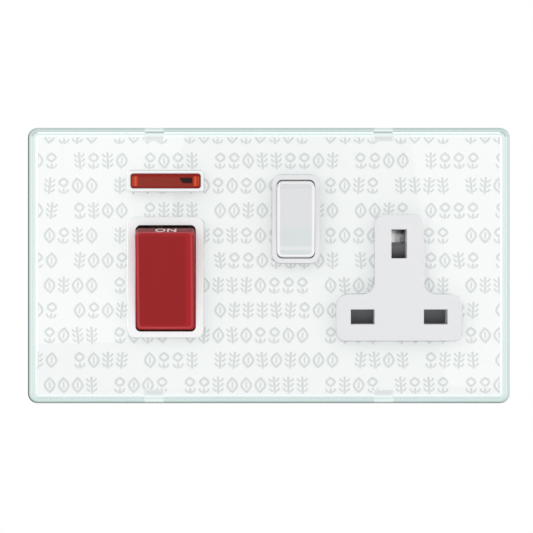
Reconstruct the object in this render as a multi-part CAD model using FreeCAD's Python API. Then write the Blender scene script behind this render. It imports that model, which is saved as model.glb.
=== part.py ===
# Cooker control unit on a double plate: a double-pole rocker switch with a neon, beside a switched three-pin
# socket. One clear bevelled plate with a printed paper insert behind it clips over a pressed steel frame. Two
# white covers and a rear housing carry the switch poles, the pin contacts, the links and the terminals.
#
# +X is right and +Z is up as seen from the room, and +Y goes into the wall. The origin is on the wall's surface,
# midway between the two box screws. All sizes are in millimetres. Both rockers are drawn switched on, with the
# top standing out and the bottom pressed in.

import FreeCAD
import Part
import math
import os

V = FreeCAD.Vector
ALONG_X = V(1, 0, 0)
ALONG_Y = V(0, 1, 0)
ALONG_Z = V(0, 0, 1)

# Clear plate and what lies in its back
PLATE_HEIGHT = 84.0
PLATE_END_LAND = 13.2       # from each box screw to the plate's end
PLATE_REACH = 6.2           # from the wall to the plate's face
PLATE_CORNER = 3.0
BEVEL_WIDTH = 1.8
BEVEL_DEPTH = 1.5
RIM_WIDTH = 2.6             # the plate's rim that stands on the wall
RECESS_DEPTH = 1.95
INSERT_THICK = 0.25
INSERT_AIR = 0.1            # between the insert's print and the recess's floor
INSERT_GAP = 0.3
FRAME_THICK = 1.5
FRAME_GAP = 0.3
CLIP_SPACING_X = 70.0
CLIP_WIDTH = 6.0
CLIP_DEPTH = 1.2            # how far a clip lug stands in from the rim
CLIP_GAP = 0.2
LEVER_NOTCH_WIDTH = 5.0
LEVER_NOTCH_DEPTH = 0.9
WINDOW_GAP = 0.2            # plate window to what stands in it
FRAME_WINDOW_GAP = 0.45

# Fixing to the wall box, and the frame's lugs that snap over nibs on the rear housing
SCREW_INSET = 0.7           # each box screw stands this far inside the housing's end
BOX_SCREW_RADIUS = 1.75
BOX_SCREW_LENGTH = 30.0
SCREW_GAP = 0.2
LUG_INSET = 13.0            # each frame lug's centre from the housing's end
FRAME_LUG_WIDTH = 6.0
FRAME_LUG_LENGTH = 9.0
FRAME_LUG_GAP = 0.1
NIB_SIZE = (3.0, 1.2, 1.4)  # width, height above the housing wall, length

# Covers and rear housing
COVER_THICK = 2.2
COVER_SPLIT_GAP = 0.3
BEZEL_PROUD = 0.4           # each raised bezel and the socket's face stand this far out of the plate
HOUSING_CORNER = 3.0
HOUSING_WALL = 2.0
FACE_END_GAP = 0.3          # from the socket's face to the inside of the housing's end wall
LENS_ROOM = 0.15            # from the lens's flange to the inside of the top wall
LINK_ROOM = 0.5             # from a strip to the moving contact or the wall beside it
LUG_NOTCH_REACH = 8.5       # from each box screw
LUG_NOTCH_TAPER = 3.0

# Cooker switch: rocker opening, bezel, neon
COOKER_X = -31.35
COOKER_Z = -3.9
COOKER_OPENING = (18.3, 32.3)
COOKER_OPENING_CORNER = 1.5
COOKER_BEZEL = (23.0, 36.6)
COOKER_BEZEL_RISE = 0.3     # the bezel's centre above the rocker's
COOKER_BEZEL_CORNER = 2.2
NEON_Z = 25.7
NEON_LENS = (21.1, 4.3)
NEON_BEZEL = (23.0, 6.35)
NEON_CORNER = 0.8
NEON_LENS_PROUD = 0.3       # out of its bezel
NEON_LENS_GAP = 0.1
NEON_LENS_WALL = 0.9
NEON_FLANGE = 1.0
NEON_LAMP_RADIUS = 2.0
NEON_LAMP_LENGTH = 12.0
RESISTOR_RADIUS = 1.2
RESISTOR_LENGTH = 6.5
LEAD_HALF = 0.35
NEON_CRADLE = 1.5

# Socket switch and socket face
SOCKET_SWITCH_X = 8.2
SOCKET_SWITCH_Z = 14.1
SOCKET_OPENING = (11.6, 23.9)
SOCKET_OPENING_CORNER = 1.7
SOCKET_BEZEL = (14.5, 26.9)
SOCKET_BEZEL_CORNER = 2.8
SOCKET_X = 39.6
PIN_ROW_Z = -15.6           # height of the two current-carrying pins
PIN_SPACING = 22.2          # between those two pins, and up to the earth pin
PIN_SLOT = (7.2, 4.5)
EARTH_SLOT = (4.7, 8.8)
PIN_LENGTH = 17.7
EARTH_PIN_LENGTH = 22.7
FACE_STEM_LAND = 5.05       # face left of and right of the earth slot
FACE_TOP_LAND = 4.5         # face over the earth slot
FACE_BAR_LAND = 4.4         # face outside the two lower slots
FACE_OVER_LAND = 4.65       # face over the two lower slots
FACE_UNDER_LAND = 5.0       # face under the two lower slots
FACE_TOP_CORNER = 3.0
FACE_SHOULDER_CORNER = 3.8
FACE_BOTTOM_CORNER = 2.6

# Shutter behind the pin slots
SHUTTER_FRONT = 0.7
SHUTTER_THICK = 1.8
SHUTTER_OVERLAP = 0.7       # past each slot's edges
SHUTTER_TRAVEL = 5.9
SHUTTER_GAP = 0.2
SHUTTER_STEM_WIDTH = 6.4
SHUTTER_CAM_DEPTH = 4.6     # front to back of the sloping cam behind the earth slot
SHUTTER_CAM_RISE = 5.0
SPRING_BEHIND = 2.0         # the spring's axis behind the shutter
SPRING_SEAT_RISE = 11.6     # the seat's underside over the pin row
SPRING_SEAT_THICK = 2.0
SPRING_LEDGE_DROP = 4.0     # the ledge's top under the pin row
SPRING_LEDGE_THICK = 1.4
LEDGE_GAP = 0.55            # from the ledge down to the line strip
SPIGOT_RADIUS = 0.8
SPIGOT_LENGTH = 1.2

# Terminals, links and pin contacts
POLE_OFFSET = 5.0           # each cooker pole from the switch's centre
BLOCK_OFFSET = 7.5          # each cooker terminal block from the switch's centre
BLOCK_WIDTH = 9.0
BLOCK_HEIGHT = 10.5
BLOCK_BORE_RADIUS = 3.0
BLOCK_BORE_WALL = 1.8
BLOCK_SCREW_RADIUS = 2.1
BLOCK_SCREW_STAND = 1.2     # how far a clamp screw stands out of its block
CABLE_ENTRY_GAP = 0.6
EARTH_BLOCK_WIDTH = 16.4
EARTH_BORE_RADIUS = 2.6
EARTH_BORE_PITCH = 8.0
TAB_THICK = 1.2
LINK_HEIGHT = 4.8
NEUTRAL_LINK_HEIGHT = 3.8
NEUTRAL_LINK_WIDTH = 3.5
LINE_RUN_HEIGHT = 3.5
CLIP_LEAF = 0.8
CLIP_THROAT = 3.7
CLIP_MOUTH = 5.2
CLIP_TIP_GAP = 0.9          # behind a fully home pin
PIN_CLIP_FRONT = 4.4
EARTH_CLIP_FRONT = 7.2
PIN_CLIP_WIDTH = 6.4
EARTH_CLIP_WIDTH = 7.6
STRAP_WIDTH = 3.0
STRAP_THICK = 0.6
STRAP_FOOT = 4.0

# Rockers and switch poles
ROCKER_SIDE_GAP = 0.3
ROCKER_END_GAP = 0.3
ROCKER_WALL = 1.6
TRUNNION_GAP = 0.06
PLUNGER_FIT = 0.08
PLUNGER_GAP = 0.5           # plunger tip to see-saw at mid swing
FULCRUM_GAP = 0.05
CONTACT_GAP = 0.2           # between closed contact faces
SPRING_WIRE = 0.45
SPRING_STEPS = 8            # straight pieces in one turn of a spring

# Cooker switch, measured from its rocker's pivot
COOKER_PIVOT_IN = 3.2       # pivot behind the bezel's face
COOKER_ROCKER_FACE = 6.4
COOKER_ROCKER_BACK = 2.4
COOKER_ROCKER_CORNER = 1.2
COOKER_ROCKER_EDGE = 0.7
COOKER_TRUNNION_RADIUS = 1.5
COOKER_TRUNNION_LENGTH = 1.6
COOKER_STEM_HALF = 2.3
COOKER_STEM_END = 10.5
COOKER_PLUNGER_RADIUS = 1.55
COOKER_PLUNGER_TIP = 16.4
COOKER_SPRING_BACK = 2.0    # the spring's fixed end in front of the pivot
COOKER_ARM = 9.2            # half of the see-saw's length
COOKER_STRIP = 1.4
COOKER_CONTACT_WIDTH = 6.0
COOKER_TIP_HALF = 2.2
COOKER_TIP_HEIGHT = 0.9
COOKER_SWING = 9.0          # degrees from mid swing to on
COOKER_TILT = 12.0
COOKER_WING = 14.0          # degrees that each half of the see-saw is bent forward

# Socket switch, the same sizes
SOCKET_PIVOT_IN = 3.0
SOCKET_ROCKER_FACE = 4.6
SOCKET_ROCKER_BACK = 1.6
SOCKET_ROCKER_CORNER = 1.5
SOCKET_ROCKER_EDGE = 0.9
SOCKET_TRUNNION_RADIUS = 1.1
SOCKET_TRUNNION_LENGTH = 1.0
SOCKET_STEM_HALF = 2.0
SOCKET_STEM_END = 9.0
SOCKET_PLUNGER_RADIUS = 1.3
SOCKET_PLUNGER_TIP = 14.2
SOCKET_SPRING_BACK = 1.5
SOCKET_ARM = 7.4
SOCKET_STRIP = 1.2
SOCKET_CONTACT_WIDTH = 5.0
SOCKET_TIP_HALF = 1.6
SOCKET_TIP_HEIGHT = 0.7
SOCKET_SWING = 8.0
SOCKET_TILT = 14.0
SOCKET_WING = 12.5

# The socket's face has land round its three slots, and what is behind it hangs from the pin row
BEZEL_REACH = PLATE_REACH + BEZEL_PROUD
NEON_LENS_REACH = BEZEL_REACH + NEON_LENS_PROUD
NEUTRAL_PIN_X = SOCKET_X - PIN_SPACING / 2
LINE_PIN_X = SOCKET_X + PIN_SPACING / 2
EARTH_PIN_Z = PIN_ROW_Z + PIN_SPACING
FACE_STEM_WIDTH = EARTH_SLOT[0] + 2 * FACE_STEM_LAND
FACE_TOP_Z = EARTH_PIN_Z + EARTH_SLOT[1] / 2 + FACE_TOP_LAND
FACE_BAR_WIDTH = PIN_SPACING + PIN_SLOT[0] + 2 * FACE_BAR_LAND
FACE_BAR_TOP_Z = PIN_ROW_Z + PIN_SLOT[1] / 2 + FACE_OVER_LAND
FACE_BOTTOM_Z = PIN_ROW_Z - PIN_SLOT[1] / 2 - FACE_UNDER_LAND
SPRING_SEAT_Z = PIN_ROW_Z + SPRING_SEAT_RISE
SPRING_LEDGE_Z = PIN_ROW_Z - SPRING_LEDGE_DROP
LINE_RUN_Z = SPRING_LEDGE_Z - SPRING_LEDGE_THICK - LEDGE_GAP - LINE_RUN_HEIGHT / 2
NEUTRAL_DROP_X = (SOCKET_SWITCH_X + SOCKET_CONTACT_WIDTH / 2 + NEUTRAL_PIN_X - PIN_CLIP_WIDTH / 2) / 2

# The housing is as wide as the socket's end needs, and as high as its fullest row needs: the lens, or the neutral
# link over the socket switch's contact, or the line strip at the bottom
HOUSING_WIDTH = 2 * (SOCKET_X + FACE_BAR_WIDTH / 2 + FACE_END_GAP + HOUSING_WALL)
LENS_ROW_END = NEON_Z + NEON_LENS[1] / 2 + NEON_FLANGE + LENS_ROOM
LINK_ROW_END = SOCKET_SWITCH_Z + SOCKET_ARM + LINK_ROOM + NEUTRAL_LINK_HEIGHT + SCREW_GAP
LINE_ROW_END = LINE_RUN_HEIGHT / 2 + LINK_ROOM - LINE_RUN_Z
HOUSING_HEIGHT = 2 * (max(LENS_ROW_END, LINK_ROW_END, LINE_ROW_END) + HOUSING_WALL)
BOX_SCREW_SPACING = HOUSING_WIDTH - 2 * SCREW_INSET
FRAME_LUG_X = HOUSING_WIDTH / 2 - LUG_INSET
COVER_SPLIT_X = (COOKER_X + COOKER_BEZEL[0] / 2 + SOCKET_SWITCH_X - SOCKET_BEZEL[0] / 2) / 2
STRAP_X = SOCKET_X - EARTH_BLOCK_WIDTH / 2
PLATE_WIDTH = BOX_SCREW_SPACING + 2 * PLATE_END_LAND


class Switch:
    """One rocker and the see-saw contact that it works, in sizes measured from the rocker's pivot."""

    def __init__(self, x, z, opening, pivot_in, face, back, corner, edge, swing, trunnion, stem,
                 plunger_radius, tube_end, tip, spring_back, tilt, arm, strip, wing, width, button, button_height):
        self.x, self.z, self.pivot_y = x, z, pivot_in - BEZEL_REACH
        self.half_width = opening[0] / 2 - ROCKER_SIDE_GAP
        self.end_radius = opening[1] / 2 - ROCKER_END_GAP
        self.face, self.back, self.corner, self.edge = face, back, corner, edge
        self.swing, self.trunnion, self.trunnion_length = swing, trunnion[0], trunnion[1]
        self.stem = stem
        self.plunger_radius, self.tube_end, self.tip, self.spring_back = plunger_radius, tube_end, tip, -spring_back
        self.tilt, self.arm, self.strip, self.wing, self.width = tilt, arm, strip, math.radians(wing), width
        self.button, self.button_height = button, button_height
        # the see-saw rocks on its back corner, which stands behind the plunger's tip
        self.fulcrum_y = self.pivot_y + tip + PLUNGER_GAP + strip / math.cos(self.wing)

    def place(self, local):
        """A shape drawn round the pivot with the rocker at mid swing, put where it is when switched on."""
        local.rotate(V(0, 0, 0), ALONG_X, self.swing)
        local.translate(V(self.x, self.pivot_y, self.z))
        return local

    def moving_face(self):
        """(Y, Z) of the closed moving contact's face."""
        along = self.arm - self.button
        y = -along * math.tan(self.wing) + self.button_height * math.cos(self.wing)
        z = along + self.button_height * math.sin(self.wing)
        tilt = math.radians(self.tilt)
        return (self.fulcrum_y + y * math.cos(tilt) + z * math.sin(tilt),
                self.z - y * math.sin(tilt) + z * math.cos(tilt))

    def tab_front(self):
        """Front face of the strip that carries the fixed contact and the fulcrum."""
        return self.moving_face()[0] + CONTACT_GAP + self.button_height


COOKER = Switch(COOKER_X, COOKER_Z, COOKER_OPENING, COOKER_PIVOT_IN, COOKER_ROCKER_FACE, COOKER_ROCKER_BACK,
                COOKER_ROCKER_CORNER, COOKER_ROCKER_EDGE, COOKER_SWING,
                (COOKER_TRUNNION_RADIUS, COOKER_TRUNNION_LENGTH), COOKER_STEM_HALF, COOKER_PLUNGER_RADIUS,
                COOKER_STEM_END, COOKER_PLUNGER_TIP, COOKER_SPRING_BACK, COOKER_TILT, COOKER_ARM, COOKER_STRIP,
                COOKER_WING, COOKER_CONTACT_WIDTH, COOKER_TIP_HALF, COOKER_TIP_HEIGHT)
SOCKET = Switch(SOCKET_SWITCH_X, SOCKET_SWITCH_Z, SOCKET_OPENING, SOCKET_PIVOT_IN, SOCKET_ROCKER_FACE,
                SOCKET_ROCKER_BACK, SOCKET_ROCKER_CORNER, SOCKET_ROCKER_EDGE, SOCKET_SWING,
                (SOCKET_TRUNNION_RADIUS, SOCKET_TRUNNION_LENGTH), SOCKET_STEM_HALF, SOCKET_PLUNGER_RADIUS,
                SOCKET_STEM_END, SOCKET_PLUNGER_TIP, SOCKET_SPRING_BACK, SOCKET_TILT, SOCKET_ARM, SOCKET_STRIP,
                SOCKET_WING, SOCKET_CONTACT_WIDTH, SOCKET_TIP_HALF, SOCKET_TIP_HEIGHT)

# The links lie in the plane of the socket switch's strip, and the terminal blocks stand just behind them
LINK_FRONT = SOCKET.tab_front()
BLOCK_FRONT = LINK_FRONT + TAB_THICK
BLOCK_DEPTH = 2 * (BLOCK_BORE_RADIUS + BLOCK_BORE_WALL)
BLOCK_BACK = BLOCK_FRONT + BLOCK_DEPTH
BORE_Y = BLOCK_FRONT + BLOCK_DEPTH / 2
HOUSING_BACK = BLOCK_BACK + HOUSING_WALL
BLOCK_END_Z = HOUSING_HEIGHT / 2 - HOUSING_WALL
BLOCK_START_Z = BLOCK_END_Z - BLOCK_HEIGHT
PIN_CLIP_BASE = -BEZEL_REACH + PIN_LENGTH + CLIP_TIP_GAP
EARTH_CLIP_BASE = -BEZEL_REACH + EARTH_PIN_LENGTH + CLIP_TIP_GAP
NEUTRAL_LINK_FRONT = PIN_CLIP_BASE - TAB_THICK
SPRING_AXIS_Y = SHUTTER_FRONT + SHUTTER_THICK + SPRING_BEHIND


# Basic shapes

def block(x0, x1, y0, y1, z0, z1):
    return Part.makeBox(x1 - x0, y1 - y0, z1 - z0, V(x0, y0, z0))


def cylinder(radius, start, axis, length):
    return Part.makeCylinder(radius, length, V(*start), axis)


def cone(radius_a, radius_b, start, axis, length):
    return Part.makeCone(radius_a, radius_b, length, V(*start), axis)


def prism(points, y0, y1):
    """An outline of (X, Z) points, from depth y0 to y1."""
    corners = [V(x, y0, z) for x, z in points]
    return Part.Face(Part.makePolygon(corners + corners[:1])).extrude(V(0, y1 - y0, 0))


def side_prism(points, x0, x1):
    """An outline of (Y, Z) points, from x0 to x1."""
    corners = [V(x0, y, z) for y, z in points]
    return Part.Face(Part.makePolygon(corners + corners[:1])).extrude(V(x1 - x0, 0, 0))


def round_spots(solid, radius, spots):
    """Rounds the edges along Y that stand on the given (X, Z) spots."""
    chosen = []
    for edge in solid.Edges:
        a, b = edge.Vertexes[0].Point, edge.Vertexes[-1].Point
        along_y = abs(a.x - b.x) < 1e-6 and abs(a.z - b.z) < 1e-6 and abs(a.y - b.y) > 1e-6
        if along_y and any(math.hypot(a.x - x, a.z - z) < 1e-4 for x, z in spots):
            chosen.append(edge)
    return solid.makeFillet(radius, chosen)


def plate(x, z, size, y0, y1, corner):
    """A rounded rectangle of size (width, height) centred on x, z, from depth y0 to y1."""
    half_width, half_height = size[0] / 2, size[1] / 2
    spots = [(x + sx * half_width, z + sz * half_height) for sx, sz in ((-1, -1), (1, -1), (1, 1), (-1, 1))]
    return round_spots(prism(spots, y0, y1), corner, spots)


def grown(size, gap):
    return (size[0] + 2 * gap, size[1] + 2 * gap)


def edges_at(solid, y):
    return [e for e in solid.Edges if all(abs(v.Y - y) < 1e-6 for v in e.Vertexes) and abs(e.BoundBox.YLength) < 1e-6]


def fused(shapes):
    return shapes[0].multiFuse(shapes[1:]).removeSplitter()


def cut_all(solid, tools):
    for tool in tools:
        solid = solid.cut(tool)
    return solid


def countersunk_screw(x, z, radius, length):
    """A screw whose flat head fills the frame's thickness."""
    head = cone(radius + FRAME_THICK, radius, (x, -FRAME_THICK, z), ALONG_Y, FRAME_THICK)
    return fused([head, cylinder(radius, (x, 0, z), ALONG_Y, length - FRAME_THICK)])


def countersink(x, z, radius):
    """What a countersunk screw's hole takes out of the frame."""
    wide = radius + FRAME_THICK + SCREW_GAP
    return cone(wide, radius + SCREW_GAP, (x, -FRAME_THICK, z), ALONG_Y, FRAME_THICK)


def coil(radius, length, turns):
    """A coil spring of square wire round +Y from the origin, in straight pieces with flat faces."""
    count = turns * SPRING_STEPS
    half = SPRING_WIRE / 2
    sections = []
    for i in range(count + 1):
        angle = 2 * math.pi * i / SPRING_STEPS
        y = half + (length - SPRING_WIRE) * i / count
        sections.append([V((radius + r) * math.cos(angle), y + s, (radius + r) * math.sin(angle))
                         for r, s in ((-half, -half), (half, -half), (half, half), (-half, half))])
    faces = [Part.Face(Part.makePolygon(end + end[:1])) for end in (sections[0], sections[-1])]
    for a, b in zip(sections, sections[1:]):
        for i in range(4):
            j = (i + 1) % 4
            for corners in ([a[i], a[j], b[j]], [a[i], b[j], b[i]]):
                faces.append(Part.Face(Part.makePolygon(corners + corners[:1])))
    solid = Part.Solid(Part.Shell(faces))
    return solid if solid.Volume > 0 else solid.reversed()


# Outlines that several pieces share

def socket_outline(y0, y1, gap=0.0):
    """The socket face's three-armed outline, grown by gap all round."""
    stem = FACE_STEM_WIDTH / 2 + gap
    bar = FACE_BAR_WIDTH / 2 + gap
    top, shoulder, bottom = FACE_TOP_Z + gap, FACE_BAR_TOP_Z + gap, FACE_BOTTOM_Z - gap
    inner = [(SOCKET_X - stem, shoulder), (SOCKET_X + stem, shoulder)]
    outer = [(SOCKET_X - bar, shoulder), (SOCKET_X + bar, shoulder)]
    tops = [(SOCKET_X - stem, top), (SOCKET_X + stem, top)]
    bottoms = [(SOCKET_X - bar, bottom), (SOCKET_X + bar, bottom)]
    solid = prism([bottoms[0], bottoms[1], outer[1], inner[1], tops[1], tops[0], inner[0], outer[0]], y0, y1)
    solid = round_spots(solid, FACE_TOP_CORNER + gap, tops)
    solid = round_spots(solid, FACE_SHOULDER_CORNER + gap, outer)
    solid = round_spots(solid, FACE_SHOULDER_CORNER - gap, inner)
    return round_spots(solid, FACE_BOTTOM_CORNER + gap, bottoms)


def cooker_bezel_outline(y0, y1, gap=0.0):
    return plate(COOKER_X, COOKER_Z + COOKER_BEZEL_RISE, grown(COOKER_BEZEL, gap), y0, y1, COOKER_BEZEL_CORNER + gap)


def neon_bezel_outline(y0, y1, gap=0.0):
    return plate(COOKER_X, NEON_Z, grown(NEON_BEZEL, gap), y0, y1, NEON_CORNER + gap)


def socket_bezel_outline(y0, y1, gap=0.0):
    return plate(SOCKET_SWITCH_X, SOCKET_SWITCH_Z, grown(SOCKET_BEZEL, gap), y0, y1, SOCKET_BEZEL_CORNER + gap)


def windows(y0, y1, gap):
    """The four windows that the raised bezels and the socket face stand in."""
    return [outline(y0, y1, gap) for outline in
            (cooker_bezel_outline, neon_bezel_outline, socket_bezel_outline, socket_outline)]


def lug_notches(y0, y1, gap=0.0):
    """Room for the wall box's two screw lugs, grown by gap."""
    inner = BOX_SCREW_SPACING / 2 - LUG_NOTCH_REACH - gap
    outer = HOUSING_WIDTH / 2 + gap
    half = LUG_NOTCH_REACH + gap
    return [prism([(sx * outer, half), (sx * outer, -half), (sx * inner, LUG_NOTCH_TAPER - half),
                   (sx * inner, half - LUG_NOTCH_TAPER)], y0, y1) for sx in (-1, 1)]


# Plate, insert and frame

def clip_spots():
    """(X, up or down) of the four clips."""
    return [(sx * CLIP_SPACING_X / 2, sz) for sx in (-1, 1) for sz in (-1, 1)]


def clip_zone(x, side, y0, y1, width, depth):
    """A box against the inside of the plate's top or bottom rim."""
    rim = side * (PLATE_HEIGHT / 2 - RIM_WIDTH)
    z0, z1 = sorted((rim, rim - side * depth))
    return block(x - width / 2, x + width / 2, y0, y1, z0, z1)


def make_front_plate():
    body = plate(0, 0, (PLATE_WIDTH, PLATE_HEIGHT), -PLATE_REACH, 0, PLATE_CORNER)
    body = body.makeChamfer(BEVEL_DEPTH, BEVEL_WIDTH, edges_at(body, -PLATE_REACH))
    recess = (PLATE_WIDTH - 2 * RIM_WIDTH, PLATE_HEIGHT - 2 * RIM_WIDTH)
    body = body.cut(block(-recess[0] / 2, recess[0] / 2, -RECESS_DEPTH, 0, -recess[1] / 2, recess[1] / 2))
    body = cut_all(body, windows(-PLATE_REACH, 0, WINDOW_GAP))
    lugs = [clip_zone(x, side, -RECESS_DEPTH, 0, CLIP_WIDTH, CLIP_DEPTH) for x, side in clip_spots()]
    body = fused([body] + lugs)
    # a lever slot under the bottom rim and over the top one, at each clip
    for x, side in clip_spots():
        edge = side * PLATE_HEIGHT / 2
        z0, z1 = sorted((edge, edge - side * LEVER_NOTCH_DEPTH))
        body = body.cut(block(x - LEVER_NOTCH_WIDTH / 2, x + LEVER_NOTCH_WIDTH / 2, -LEVER_NOTCH_DEPTH, 0, z0, z1))
    return body


def sheet_under_plate(y0, y1, edge_gap, openings):
    """A flat sheet in the plate's recess, with the given openings and its clip notches."""
    size = (PLATE_WIDTH - 2 * RIM_WIDTH - 2 * edge_gap, PLATE_HEIGHT - 2 * RIM_WIDTH - 2 * edge_gap)
    body = block(-size[0] / 2, size[0] / 2, y0, y1, -size[1] / 2, size[1] / 2)
    body = cut_all(body, openings)
    notches = [clip_zone(x, side, y0, y1, CLIP_WIDTH + 2 * CLIP_GAP, CLIP_DEPTH + CLIP_GAP)
               for x, side in clip_spots()]
    return cut_all(body, notches)


def make_wallpaper_insert():
    front = INSERT_AIR - RECESS_DEPTH
    back = front + INSERT_THICK
    openings = windows(front, back, WINDOW_GAP)
    openings = [square_opening(outline) for outline in openings[:3]] + openings[3:]
    return sheet_under_plate(front, back, INSERT_GAP, openings)


def square_opening(outline):
    box = outline.BoundBox
    return block(box.XMin, box.XMax, box.YMin, box.YMax, box.ZMin, box.ZMax)


def frame_openings():
    """Plain stamped openings in the frame."""
    openings = [square_opening(outline) for outline in windows(-FRAME_THICK, 0, FRAME_WINDOW_GAP)[:3]]
    stem, bar = FACE_STEM_WIDTH / 2 + FRAME_WINDOW_GAP, FACE_BAR_WIDTH / 2 + FRAME_WINDOW_GAP
    bottom = FACE_BOTTOM_Z - FRAME_WINDOW_GAP
    for half, top in ((bar, FACE_BAR_TOP_Z + FACE_SHOULDER_CORNER), (stem, FACE_TOP_Z + FRAME_WINDOW_GAP)):
        openings.append(block(SOCKET_X - half, SOCKET_X + half, -FRAME_THICK, 0, bottom, top))
    return openings


def frame_lugs():
    """Lugs bent back along the housing's top and bottom walls, each with a window for a nib."""
    lugs = []
    near = HOUSING_HEIGHT / 2 + FRAME_LUG_GAP
    for sx in (-1, 1):
        for side in (-1, 1):
            x = sx * FRAME_LUG_X
            half = FRAME_LUG_WIDTH / 2
            z0, z1 = sorted((side * near, side * (near + FRAME_THICK)))
            lug = block(x - half, x + half, -FRAME_THICK, FRAME_LUG_LENGTH, z0, z1)
            half = NIB_SIZE[0] / 2 + SCREW_GAP
            y0, y1 = nib_depth()
            lugs.append(lug.cut(block(x - half, x + half, y0 - SCREW_GAP, y1 + FULCRUM_GAP, z0, z1)))
    return lugs


def nib_depth():
    """Front and back of the nibs that the lugs snap over."""
    back = FRAME_LUG_LENGTH - FRAME_THICK
    return back - NIB_SIZE[2], back


def housing_nibs():
    nibs = []
    y0, y1 = nib_depth()
    for sx in (-1, 1):
        for side in (-1, 1):
            x = sx * FRAME_LUG_X
            z0, z1 = sorted((side * HOUSING_HEIGHT / 2, side * (HOUSING_HEIGHT / 2 + NIB_SIZE[1])))
            nibs.append(block(x - NIB_SIZE[0] / 2, x + NIB_SIZE[0] / 2, y0, y1, z0, z1))
    return nibs


def make_support_frame():
    body = fused([sheet_under_plate(-FRAME_THICK, 0, FRAME_GAP, frame_openings())] + frame_lugs())
    return cut_all(body, [countersink(sx * BOX_SCREW_SPACING / 2, 0, BOX_SCREW_RADIUS) for sx in (-1, 1)])


def make_box_screws():
    return Part.makeCompound([countersunk_screw(sx * BOX_SCREW_SPACING / 2, 0, BOX_SCREW_RADIUS, BOX_SCREW_LENGTH)
                              for sx in (-1, 1)])


def strap_path():
    """The earth strap's height over the housing and its plane in front of the earth terminal."""
    return HOUSING_HEIGHT / 2 + SCREW_GAP, BLOCK_FRONT - STRAP_THICK


def make_frame_earth_strap():
    """Strip from the frame's back, along the housing's top and in through a slot to the earth terminal."""
    z, y = strap_path()
    x0, x1 = STRAP_X, STRAP_X + STRAP_WIDTH
    foot = block(x0, x1, 0, STRAP_THICK, z, z + STRAP_FOOT)
    run = block(x0, x1, 0, BLOCK_FRONT, z, z + STRAP_THICK)
    tail = block(x0, x1, y, BLOCK_FRONT, BLOCK_END_Z - STRAP_FOOT, z + STRAP_THICK)
    return fused([foot, run, tail])


# Covers

def cover_flange(x0, x1):
    """One cover's flat part, between x0 and x1 of the housing's outline."""
    whole = plate(0, 0, (HOUSING_WIDTH, HOUSING_HEIGHT), 0, COVER_THICK, HOUSING_CORNER)
    body = whole.common(block(x0, x1, 0, COVER_THICK, -HOUSING_HEIGHT, HOUSING_HEIGHT))
    return cut_all(body, lug_notches(0, COVER_THICK))


def rocker_well(switch, opening, corner):
    """The opening that a rocker swings in, and the two blind holes for its trunnions."""
    well = plate(switch.x, switch.z, opening, -BEZEL_REACH, COVER_THICK, corner)
    reach = switch.half_width + switch.trunnion_length + TRUNNION_GAP
    pins = cylinder(switch.trunnion + TRUNNION_GAP, (switch.x - reach, switch.pivot_y, switch.z), ALONG_X, 2 * reach)
    return [well, pins]


def make_switch_cover():
    body = fused([cover_flange(-HOUSING_WIDTH / 2, COVER_SPLIT_X - COVER_SPLIT_GAP / 2),
                  cooker_bezel_outline(-BEZEL_REACH, 0), neon_bezel_outline(-BEZEL_REACH, 0)])
    lens_hole = plate(COOKER_X, NEON_Z, grown(NEON_LENS, NEON_LENS_GAP), -BEZEL_REACH, COVER_THICK, NEON_CORNER)
    return cut_all(body, rocker_well(COOKER, COOKER_OPENING, COOKER_OPENING_CORNER) + [lens_hole])


def shutter_pocket():
    """Room in the cover's back for the shutter over its whole travel."""
    top, bottom = pin_slot_edges()
    half = PIN_SPACING / 2 + PIN_SLOT[0] / 2 + SHUTTER_OVERLAP + SHUTTER_GAP
    stem = SHUTTER_STEM_WIDTH / 2 + SHUTTER_GAP
    front = SHUTTER_FRONT - SHUTTER_GAP
    bar = block(SOCKET_X - half, SOCKET_X + half, front, COVER_THICK,
                bottom - SHUTTER_OVERLAP - SHUTTER_TRAVEL - SHUTTER_GAP, top + SHUTTER_OVERLAP + SHUTTER_GAP)
    column = block(SOCKET_X - stem, SOCKET_X + stem, front, COVER_THICK, PIN_ROW_Z,
                   EARTH_PIN_Z + EARTH_SLOT[1] / 2 + SHUTTER_GAP)
    return bar.fuse(column)


def pin_slots():
    """The three slots through the socket's face."""
    cuts = [block(x - PIN_SLOT[0] / 2, x + PIN_SLOT[0] / 2, -BEZEL_REACH, COVER_THICK,
                  PIN_ROW_Z - PIN_SLOT[1] / 2, PIN_ROW_Z + PIN_SLOT[1] / 2) for x in (NEUTRAL_PIN_X, LINE_PIN_X)]
    cuts.append(block(SOCKET_X - EARTH_SLOT[0] / 2, SOCKET_X + EARTH_SLOT[0] / 2, -BEZEL_REACH, COVER_THICK,
                      EARTH_PIN_Z - EARTH_SLOT[1] / 2, EARTH_PIN_Z + EARTH_SLOT[1] / 2))
    return cuts


def make_socket_cover():
    body = fused([cover_flange(COVER_SPLIT_X + COVER_SPLIT_GAP / 2, HOUSING_WIDTH / 2),
                  socket_bezel_outline(-BEZEL_REACH, 0), socket_outline(-BEZEL_REACH, 0)])
    cuts = rocker_well(SOCKET, SOCKET_OPENING, SOCKET_OPENING_CORNER) + pin_slots() + [shutter_pocket()]
    return cut_all(body, cuts)


# Rockers, plungers and see-saw contacts

def rocker_shell(switch, inset):
    """The round-ended block that a rocker's outside, or its hollow, follows."""
    half, radius = switch.half_width - inset, switch.end_radius - inset
    disc = cylinder(radius, (-half, 0, 0), ALONG_X, 2 * half)
    return disc.common(block(-half, half, -switch.face + inset, switch.back, -radius, radius))


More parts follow.
